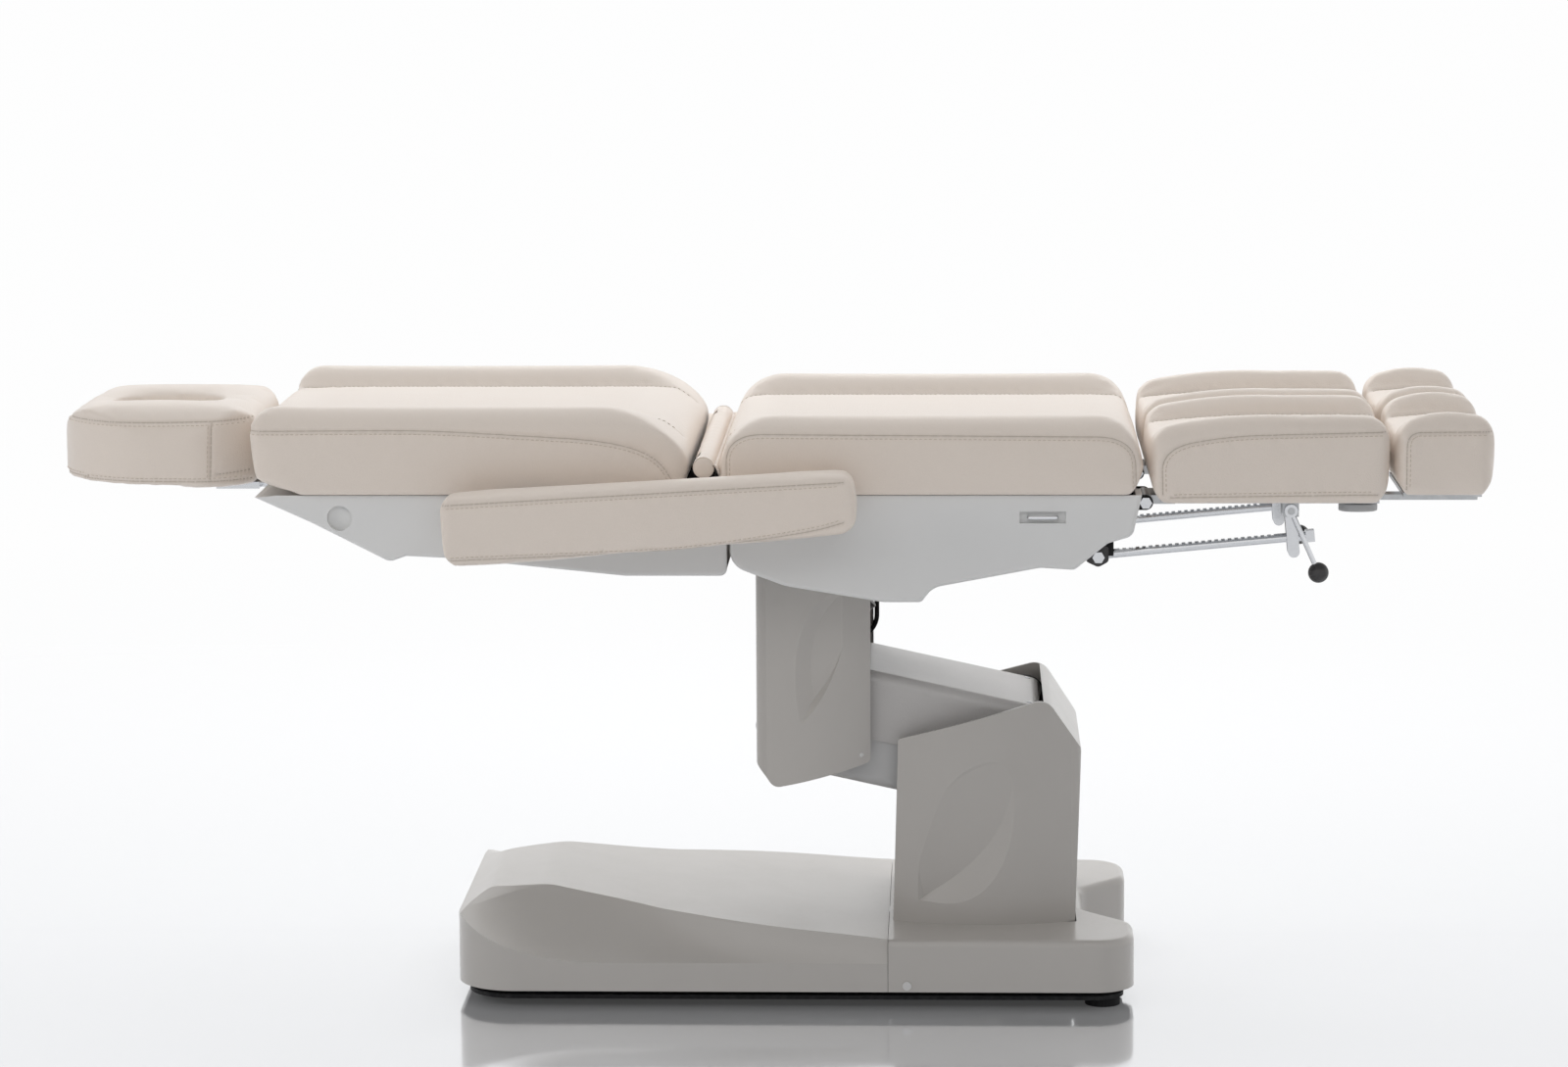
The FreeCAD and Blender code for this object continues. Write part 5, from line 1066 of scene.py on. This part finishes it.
@dataclass
class SeatAssembly:
    """Seat cushion and the strip over the backrest hinge.

    Attributes:
        side_top: Height of the side seam.
        side_low: Where the side seam ends above the cover.
        head_end: Seam at the backrest end.
        foot_end: Seam at the leg end.
        channel: Foot of the raised sides, from the middle plane.
        strip_radius: Outside of the hinge strip.
        strip_reach: Half the length of the hinge strip.
        strip_spread: Degrees that the strip reaches down on each side of its top.
        strip_rise: Height of the solid's top above the hinge's middle.
        strip_wall: Thickness of the strip.
        strip_rows: Faces of the strip over its arch.
        strip_columns: Faces along the strip.
        end_sides: Sides of the strip's round ends.
        end_inset: How far those ends start inside the strip.
        ear_inside: Start of the notch that lets a hinge ear of the backrest swing up.
        ear_outside: End of that notch.
        ear_spread: Degrees that the strip reaches down on that side in the notch.
    """

    side_top: float = 0.797
    side_low: float = 0.7175
    head_end: float = -0.046
    foot_end: float = 0.499
    channel: float = 0.186
    strip_radius: float = 0.0148
    strip_reach: float = 0.282
    strip_spread: float = 78.0
    strip_rise: float = 0.0145
    strip_wall: float = 0.003
    strip_rows: int = 26
    strip_columns: int = 60
    end_sides: int = 32
    end_inset: float = 0.003
    ear_inside: float = 0.214
    ear_outside: float = 0.250
    ear_spread: float = 26.0

    def seams(self) -> list[Seam]:
        """Side panels and the lines at the feet of the raised sides.

        Returns:
            The seams.
        """
        side = ((self.head_end, self.side_low), (self.head_end - 0.002, self.side_top),
                (self.foot_end, self.side_top - 0.004), (self.foot_end + 0.003, self.side_low))
        panel = Seam(Face.RIGHT, side, 0.05)
        line = straight(Face.TOP, self.head_end - 0.006, self.foot_end + 0.008, -self.channel,
                        -CHANNEL_ASIDE)
        return [panel, panel.mirrored(), line, line.mirrored()]

    def strip_section(self, radius: float, sag: float, behind: float) -> list[Point2]:
        """Section of the strip: an arch over the hinge, with one edge tucked in at the seat.

        Args:
            radius: Radius of the arch.
            sag: How far the strip stands out in its middle.
            behind: Degrees that it reaches down on the backrest's side.

        Returns:
            Points about the hinge, from the seat side over the top.
        """
        tuck = [(0.0225, -0.008), (0.0205, -0.002), (0.0178, 0.0022), (0.0158, 0.0036)]
        section = [(x - self.strip_radius + radius, z) for x, z in tuck]
        rows = self.strip_rows
        for r in range(rows + 1):
            turn = math.radians(90 - self.strip_spread + (self.strip_spread + behind) * r / rows)
            size = radius + sag * math.sin(math.pi * r / rows)
            section.append((size * math.cos(turn), size * math.sin(turn)))
        return section

    def strip_end(self, points: list, faces: list, middle: Point3, side: int) -> None:
        """Closes one end of the strip with a padded round end.

        Args:
            points: Points of the strip's mesh, added to.
            faces: Faces of the strip's mesh, added to.
            middle: Middle of the end.
            side: 1 for the end on +Y, -1 for the other.
        """
        turns = self.end_sides
        # Shares of the strip's radius, with how far the end stands out there
        profile = ((0.98, -0.004), (0.98, 0.0), (0.94, 0.0018), (0.80, 0.0032),
                   (0.55, 0.004), (0.25, 0.0044))
        start = len(points)
        for share, out in profile:
            for k in range(turns):
                turn = 2 * math.pi * k / turns
                size = self.strip_radius * share
                points.append((middle[0] + size * math.cos(turn), middle[1] + side * out,
                               middle[2] + size * math.sin(turn)))
        end = ring_faces(start, len(profile), turns)
        end.append(tuple(range(len(points) - turns, len(points))))
        faces += [face[::-1] if side > 0 else face for face in end]

    def strip(self) -> None:
        """The upholstered strip that closes the gap over the hinge."""
        low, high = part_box("gap_flap")
        middle_x = (low.x + high.x) / 2
        middle_z = high.z - self.strip_rise
        columns = self.strip_columns
        points, faces = [], []
        for side in (0, 1):
            for c in range(columns + 1):
                y = self.strip_reach * (2 * c / columns - 1)
                # Small uneven waves, as in cloth that is fitted by hand
                sag = 0.0003 * math.sin(c * 1.7) + 0.0002 * math.sin(c * 0.61)
                notched = self.ear_inside < abs(y) < self.ear_outside
                behind = self.ear_spread if notched else self.strip_spread
                section = self.strip_section(self.strip_radius - self.strip_wall * side, sag, behind)
                points += [(middle_x + x, y, middle_z + z) for x, z in section]
        rows = len(section) - 1
        layer = (rows + 1) * (columns + 1)
        for side in (0, 1):
            for c in range(columns):
                for r in range(rows):
                    k = side * layer + c * (rows + 1) + r
                    quad = (k, k + 1, k + rows + 2, k + rows + 1)
                    faces.append(quad if side else quad[::-1])
        for c in range(columns):
            for r in (0, rows):
                k = c * (rows + 1) + r
                quad = (k, k + rows + 1, layer + k + rows + 1, layer + k)
                faces.append(quad if r == 0 else quad[::-1])
        for r in range(rows):
            for c in (0, columns):
                k = c * (rows + 1) + r
                quad = (k, layer + k, layer + k + 1, k + 1)
                faces.append(quad if c == 0 else quad[::-1])
        for side in (-1, 1):
            y = side * (self.strip_reach - self.end_inset)
            self.strip_end(points, faces, (middle_x, y, middle_z), side)
        item = make_object("hinge_strip", points, faces, UPHOLSTERY)
        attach(item, "seat")
        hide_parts("gap_flap")
        LOG.info("hinge_strip on seat")

    def build(self) -> None:
        """Makes the seat's soft pieces."""
        Cushion("seat_cushion", "seat", self.seams()).build()
        self.strip()


@dataclass
class BackrestAssembly:
    """Backrest cushion.

    Attributes:
        top_head: Height of the side seam at the head end.
        top_hinge: Height of the side seam before it turns down.
        head_end: Where the side seam starts.
        hinge_end: Where the side seam turns down.
        side_low: Where it ends.
        channel: Foot of the raised sides, from the middle plane.
        end_reach: Half the length of the seam across the head end.
    """

    top_head: float = 0.803
    top_hinge: float = 0.789
    head_end: float = -0.6895
    hinge_end: float = -0.116
    side_low: float = 0.7175
    channel: float = 0.186
    end_reach: float = 0.278

    def seams(self) -> list[Seam]:
        """Side panels, the end seam and the lines at the feet of the raised sides.

        Returns:
            The seams.
        """
        side = ((self.head_end, self.top_head - 0.001), (-0.45, self.top_head), (-0.205, self.top_hinge),
                (-0.140, 0.768), (self.hinge_end, self.side_low + 0.012))
        panel = Seam(Face.RIGHT, side, 0.06)
        line = straight(Face.TOP, self.head_end + 0.012, self.hinge_end + 0.004, -self.channel,
                        -CHANNEL_ASIDE)
        end = straight(Face.HEAD, -self.end_reach, self.end_reach, self.top_head - 0.001)
        return [panel, panel.mirrored(), line, line.mirrored(), end]

    def build(self) -> None:
        """Makes the backrest's soft piece."""
        Cushion("backrest_cushion", "backrest", self.seams()).build()


@dataclass
class HeadrestAssembly:
    """Headrest cushion with its face hole.

    Attributes:
        belt: Height of the seam round the upper edge.
        hem: Height of the seam near the underside.
        joint: Where the side seam stands.
        slit: Height of the slit at the lower corner.
        end_reach: Half the length of the seams across the head end.
    """

    belt: float = 0.798
    hem: float = 0.721
    joint: float = -0.7575
    slit: float = 0.727
    end_reach: float = 0.137

    def seams(self) -> list[Seam]:
        """Seams round the edge, the upright joints and the slits.

        Returns:
            The seams.
        """
        edge = ((-0.942, self.belt + 0.002), (-0.84, self.belt), (-0.704, self.belt + 0.003))
        upper = Seam(Face.RIGHT, edge, 0.05)
        under = ((-0.940, self.hem - 0.002), (-0.71, self.hem - 0.004))
        lower = Seam(Face.RIGHT, under, beside=-STITCH_ASIDE)
        joint = Seam(Face.RIGHT, ((self.joint, self.belt), (self.joint - 0.003, self.hem - 0.004)))
        opening = ((self.joint + 0.006, self.slit), (-0.712, self.slit + 0.002))
        slit = Seam(Face.RIGHT, opening, stitched=False)
        sides = [upper, lower, joint, slit]
        end = straight(Face.HEAD, -self.end_reach, self.end_reach, self.belt + 0.002)
        hem = straight(Face.HEAD, -self.end_reach, self.end_reach, self.hem, -STITCH_ASIDE)
        return sides + [seam.mirrored() for seam in sides] + [end, hem]

    def build(self) -> None:
        """Makes the headrest's soft piece."""
        Cushion("headrest_cushion", "headrest", self.seams(), voxel=0.005, flat_under=0.004,
                evening=11).build()


@dataclass
class ArmrestAssembly:
    """The two armrest pads.

    Attributes:
        back: Back end of the pad's seams.
        front: Front end of the pad's seams.
        top: Height of the upper seam at the back end.
        low: Height of the lower seam at the back end.
        rise: Rise of the seams over the pad's length.
    """

    back: float = -0.4195
    front: float = 0.112
    top: float = 0.714
    low: float = 0.640
    rise: float = 0.031

    def seams(self) -> list[Seam]:
        """Upper and lower seams of the outer side.

        Returns:
            The seams.
        """
        upper = Seam(Face.RIGHT, ((self.back, self.top), (self.front, self.top + self.rise)))
        curve = ((self.back + 0.006, self.low), (-0.10, self.low + 0.013),
                 (self.front - 0.04, self.low + 0.040), (self.front, self.low + 0.052))
        return [upper, Seam(Face.RIGHT, curve, 0.06, beside=-STITCH_ASIDE)]

    def build(self) -> None:
        """Makes both pads."""
        pad = Cushion("armrest_right", "armrests", self.seams(), voxel=0.005, flat_under=0.0)
        pad.twin(pad.build(), "armrest_left", "armrests")


@dataclass
class LegAssembly:
    """Leg and foot cushions of both sides.

    Attributes:
        leg_top: Height of the leg's side seam.
        leg_low: Height of the seam near the leg's underside.
        leg_start: Seam at the seat end of the leg.
        leg_end: Seam at the foot end of the leg.
        foot_top: Height of the foot's side seam.
        foot_low: Where that seam starts.
        foot_start: Seam at the leg end of the foot.
        foot_end: Seam at the foot's far end.
        middle: Middle of a leg from the chair's middle plane.
        channel: Foot of a leg's raised sides from the leg's middle.
    """

    leg_top: float = 0.7965
    leg_low: float = 0.7115
    leg_start: float = 0.537
    leg_end: float = 0.833
    foot_top: float = 0.799
    foot_low: float = 0.722
    foot_start: float = 0.861
    foot_end: float = 0.974
    middle: float = 0.148
    channel: float = 0.076

    def channels(self, start: float, end: float) -> list[Seam]:
        """Lines at the feet of the raised sides."""
        return [straight(Face.TOP, start, end, -self.middle + side * self.channel, CHANNEL_ASIDE * side)
                for side in (-1, 1)]

    def leg_seams(self) -> list[Seam]:
        """Side panels, lower edge and channels of a leg.

        Returns:
            The seams.
        """
        side = ((self.leg_start, self.leg_low + 0.004), (self.leg_start - 0.002, self.leg_top - 0.018),
                (self.leg_start + 0.09, self.leg_top - 0.002), (self.leg_end, self.leg_top + 0.003))
        panel = Seam(Face.RIGHT, side, 0.045)
        edge = ((self.leg_start + 0.01, self.leg_low), (self.leg_end - 0.01, self.leg_low + 0.004))
        low = Seam(Face.RIGHT, edge, beside=-STITCH_ASIDE)
        inner = Seam(Face.LEFT, side, 0.045)
        return [panel, low, inner] + self.channels(self.leg_start - 0.006, self.leg_end)

    def foot_seams(self) -> list[Seam]:
        """Side panels and channels of a foot cushion.

        Returns:
            The seams.
        """
        side = ((self.foot_start, self.foot_low), (self.foot_start, self.foot_top),
                (self.foot_end, self.foot_top + 0.001))
        panel = Seam(Face.RIGHT, side, 0.02)
        inner = Seam(Face.LEFT, side, 0.02)
        return [panel, inner] + self.channels(self.foot_start, self.foot_end - 0.004)

    def build(self) -> None:
        """Makes the four cushions."""
        leg = Cushion("leg_cushion_right", "leg_right", self.leg_seams(), voxel=0.0055,
                      dip=0.016, dip_reach=0.17)
        leg.twin(leg.build(), "leg_cushion_left", "leg_left")
        foot = Cushion("foot_cushion_right", "foot_right", self.foot_seams(), voxel=0.005,
                       dip=0.010, dip_reach=0.07)
        foot.twin(foot.build(), "foot_cushion_left", "foot_left")


@dataclass
class SmallTrim:
    """Small screw heads and buttons on the covers.

    Attributes:
        sides: Sides round a head.
        rings: Rings from a head's rim to its top.
        dome: Height of a head, as a share of its radius.
        sunk: How far a head's rim lies in the cover.
        arm_screw: X and distance from the middle plane of the arm's screws.
        arm_radius: Radius of those screws.
        button: Y and Z of the button at the column's head side.
        button_radius: Radius of the button.
        column_screw: X and Z of the screws at the column's long sides.
        column_radius: Radius of those screws.
    """

    sides: int = 24
    rings: int = 5
    dome: float = 0.45
    sunk: float = 0.0004
    arm_screw: Point2 = (0.363, 0.095)
    arm_radius: float = 0.0045
    button: Point2 = (-0.10, 0.366)
    button_radius: float = 0.006
    column_screw: Point2 = (0.131, 0.334)
    column_radius: float = 0.0035

    def head(self, name: str, node: str, way: Face, place: Point2, radius: float,
             body: str, finish: Finish) -> None:
        """A low domed head on a cover.

        Args:
            name: The piece's name.
            node: The cover that carries it.
            way: The side of the cover that it is on.
            place: Its place in that side's plane.
            radius: The head's radius.
            body: The body that it rides on.
            finish: Its finish.
        """
        tree = surface_tree(frame["nodes"][node].data)
        out = Vector(way.value)
        foot, up, _, _ = tree.ray_cast(way.place(*place, OUTSIDE), -out, 2 * OUTSIDE)
        up = up if up.dot(out) > 0 else -up
        side = up.orthogonal().normalized()
        other = up.cross(side)
        points = []
        for ring in range(self.rings + 1):
            rise = math.pi / 2 * ring / (self.rings + 0.4)
            for k in range(self.sides):
                angle = 2 * math.pi * k / self.sides
                flat = side * math.cos(angle) + other * math.sin(angle)
                rim = foot - up * self.sunk + flat * radius * math.cos(rise)
                points.append(rim + up * radius * self.dome * math.sin(rise))
        faces = ring_faces(0, self.rings + 1, self.sides)
        faces.append(tuple(range(len(points) - self.sides, len(points))))
        faces.append(tuple(range(self.sides - 1, -1, -1)))
        item = make_object(name, points, faces, finish)
        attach(item, body)
        LOG.info("%s on %s", name, body)

    def build(self) -> None:
        """Makes the heads that show on the arm and on the upper column."""
        x, y = self.arm_screw
        for k, side in enumerate((-1, 1)):
            self.head(f"arm_screw_{k}", "arm_top_cover", Face.TOP, (x, side * y), self.arm_radius,
                      "lift_arm", CHROME)
        self.head("column_button", "upper_column_cover", Face.HEAD, self.button, self.button_radius,
                  "upper_column", SCREW_CAP)
        for k, face in enumerate((Face.RIGHT, Face.LEFT)):
            self.head(f"column_screw_{k}", "upper_column_cover", face, self.column_screw,
                      self.column_radius, "upper_column", SCREW_CAP)


@dataclass
class HardParts:
    """The rigid nodes, which keep their shapes and get their finishes."""

    def build(self) -> None:
        """Gives each rigid node its finish."""
        slots = {entry["node"]: entry["material_slot"] for entry in frame["record"]["subparts"]}
        for name, item in frame["nodes"].items():
            finish = NODE_FINISH.get(name, SLOT_FINISH[slots[name]])
            item.data.materials.clear()
            item.data.materials.append(finish.material())
            LOG.info("%s in %s", name, finish.name)


@dataclass(frozen=True)
class Lamp:
    """A soft box that mirrors don't show.

    Attributes:
        name: The lamp's name.
        place: Where it hangs.
        aim: The point that it looks at.
        size: Its width and height.
        power: Its power in watts.
    """

    name: str
    place: Point3
    aim: Point3
    size: Point2
    power: float

    def build(self) -> None:
        """Hangs the lamp."""
        light = bpy.data.lights.new(self.name, "AREA")
        light.shape = "RECTANGLE"
        light.size, light.size_y = self.size
        light.energy = self.power
        item = bpy.data.objects.new(self.name, light)
        item.location = self.place
        item.rotation_euler = (Vector(self.aim) - Vector(self.place)).to_track_quat("-Z", "Y").to_euler()
        item.visible_glossy = False
        bpy.context.scene.collection.objects.link(item)


WHITE = (1.0, 1.0, 1.0, 1.0)
LAMPS = (
    Lamp("top_box", (0.0, 1.2, 3.3), (0.0, 0.1, 0.5), (4.4, 2.4), 32.0),
    Lamp("back_box", (0.0, 2.5, 2.0), (0.0, 0.0, 0.1), (3.4, 0.9), 47.0),
    Lamp("front_box", (0.0, -2.6, 2.2), (0.0, 0.0, 0.75), (3.4, 0.9), 12.5),
    Lamp("left_box", (-3.4, -1.6, 1.9), (-0.2, 0.0, 0.6), (1.6, 1.8), 20.0),
    Lamp("right_box", (3.6, 0.6, 1.8), (0.3, 0.0, 0.6), (1.4, 1.8), 16.0),
)


@dataclass
class Studio:
    """White sweep, soft lamps and the camera.

    Attributes:
        camera_place: Where the camera stands.
        camera_turn: Its rotation in degrees.
        focal: Focal length in millimetres on the film.
        film: Width of the film in millimetres.
        front: Where the floor starts, before the chair.
        wall: Distance to the back of the sweep.
        bend: Radius where the floor turns up.
        bend_steps: Steps of that turn.
        wide: Half the width of the sweep.
        tall: Height of the sweep.
        floor_color: Colour of the floor.
        floor_roughness: How dull the floor is.
        floor_mirror: How far the floor is a mirror.
        fade: Where the floor starts to go over into white, and where that ends.
        fade_share: Share of white at those two places.
        soft_color: Colour of the light from all round.
        soft_light: Strength of that light.
    """

    camera_place: Point3 = (0.2535, -6.5, 1.6041)
    camera_turn: Point3 = (81.401, 0.304, 2.012)
    focal: float = 107.662
    film: float = 36.0
    front: float = -12.0
    wall: float = 4.2
    bend: float = 1.6
    bend_steps: int = 12
    wide: float = 9.0
    tall: float = 6.0
    floor_color: Color = (0.93, 0.94, 0.96)
    floor_roughness: float = 0.09
    floor_mirror: float = 0.62
    fade: Point2 = (0.2, 3.2)
    fade_share: Point2 = (0.04, 0.95)
    soft_color: Color = (0.97, 0.98, 1.0)
    soft_light: float = 0.285

    def camera(self) -> None:
        """The camera at the photograph's angle."""
        lens = bpy.data.cameras.new("camera")
        lens.lens = self.focal
        lens.sensor_width = self.film
        lens.sensor_fit = "HORIZONTAL"
        lens.clip_end = 100.0
        item = bpy.data.objects.new("camera", lens)
        item.location = self.camera_place
        item.rotation_euler = tuple(math.radians(angle) for angle in self.camera_turn)
        bpy.context.scene.collection.objects.link(item)
        bpy.context.scene.camera = item

    def seen(self, tree: NodeTree) -> bpy.types.NodeSocket:
        """Tells the rays that show the background to the eye, in metal or through glass.

        Args:
            tree: The tree that asks.

        Returns:
            1 on those rays, 0 on others.
        """
        path = tree.add("LightPath")
        direct = tree.calc("MAXIMUM", path.outputs["Is Camera Ray"], path.outputs["Is Glossy Ray"])
        return tree.calc("MAXIMUM", direct, path.outputs["Is Transmission Ray"])

    def sweep(self) -> None:
        """A glossy white floor that turns up into a white wall, open to the eye from behind."""
        profile = [(self.front, 0.0)]
        for k in range(self.bend_steps + 1):
            turn = math.pi / 2 * k / self.bend_steps
            y = self.wall - self.bend + self.bend * math.sin(turn)
            profile.append((y, self.bend * (1 - math.cos(turn))))
        profile.append((self.wall, self.tall))
        points = [(x, y, z) for x in (-self.wide, self.wide) for y, z in profile]
        count = len(profile)
        faces = [(k, count + k, count + k + 1, k + 1) for k in range(count - 1)]
        item = make_object("studio_sweep", points, faces)
        item.data.materials.append(self.floor())

    def floor(self) -> bpy.types.Material:
        """The sweep's material: a floor near the chair that goes over into plain white.

        Returns:
            The material.
        """
        material = bpy.data.materials.new("white_studio_floor")
        material.use_nodes = True
        tree = NodeTree(material.node_tree)
        shader = material.node_tree.nodes["Principled BSDF"]
        tree.feed(shader, "Base Color", self.floor_color + (1.0,))
        tree.feed(shader, "Roughness", self.floor_roughness)
        tree.feed(shader, "Metallic", self.floor_mirror)
        glow = tree.add("Emission", Color=WHITE, Strength=1.0)
        geometry = tree.add("NewGeometry")
        place = tree.add("SeparateXYZ", Vector=geometry.outputs["Position"])
        far = tree.spread(place.outputs["Y"], *self.fade, *self.fade_share)
        front = tree.mix(tree.times(self.seen(tree), far), shader.outputs[0], glow.outputs[0])
        clear = tree.add("BsdfTransparent").outputs[0]
        one_sided = tree.mix(geometry.outputs["Backfacing"], front, clear)
        tree.feed(material.node_tree.nodes["Material Output"], "Surface", one_sided)
        return material

    def world(self) -> None:
        """White all round where it is seen, and a plain soft level where it lights."""
        world = bpy.data.worlds.new("studio")
        world.use_nodes = True
        bpy.context.scene.world = world
        tree = NodeTree(world.node_tree)
        soft = world.node_tree.nodes["Background"]
        tree.feed(soft, "Color", self.soft_color + (1.0,))
        tree.feed(soft, "Strength", self.soft_light)
        white = tree.add("Background", Color=WHITE, Strength=1.0)
        both = tree.mix(self.seen(tree), soft.outputs[0], white.outputs[0])
        tree.feed(world.node_tree.nodes["World Output"], "Surface", both)

    def build(self) -> None:
        """Sets up the studio."""
        bpy.context.scene.view_settings.view_transform = "Standard"
        self.camera()
        self.world()
        self.sweep()
        for lamp in LAMPS:
            lamp.build()


def main() -> None:
    """Builds the studio and every piece."""
    logging.basicConfig(level=logging.INFO, format="%(message)s")
    Studio().build()
    for assembly in (HardParts(), SeatAssembly(), BackrestAssembly(), HeadrestAssembly(),
                     ArmrestAssembly(), LegAssembly(), SmallTrim()):
        assembly.build()


if __name__ == "__main__":
    main()
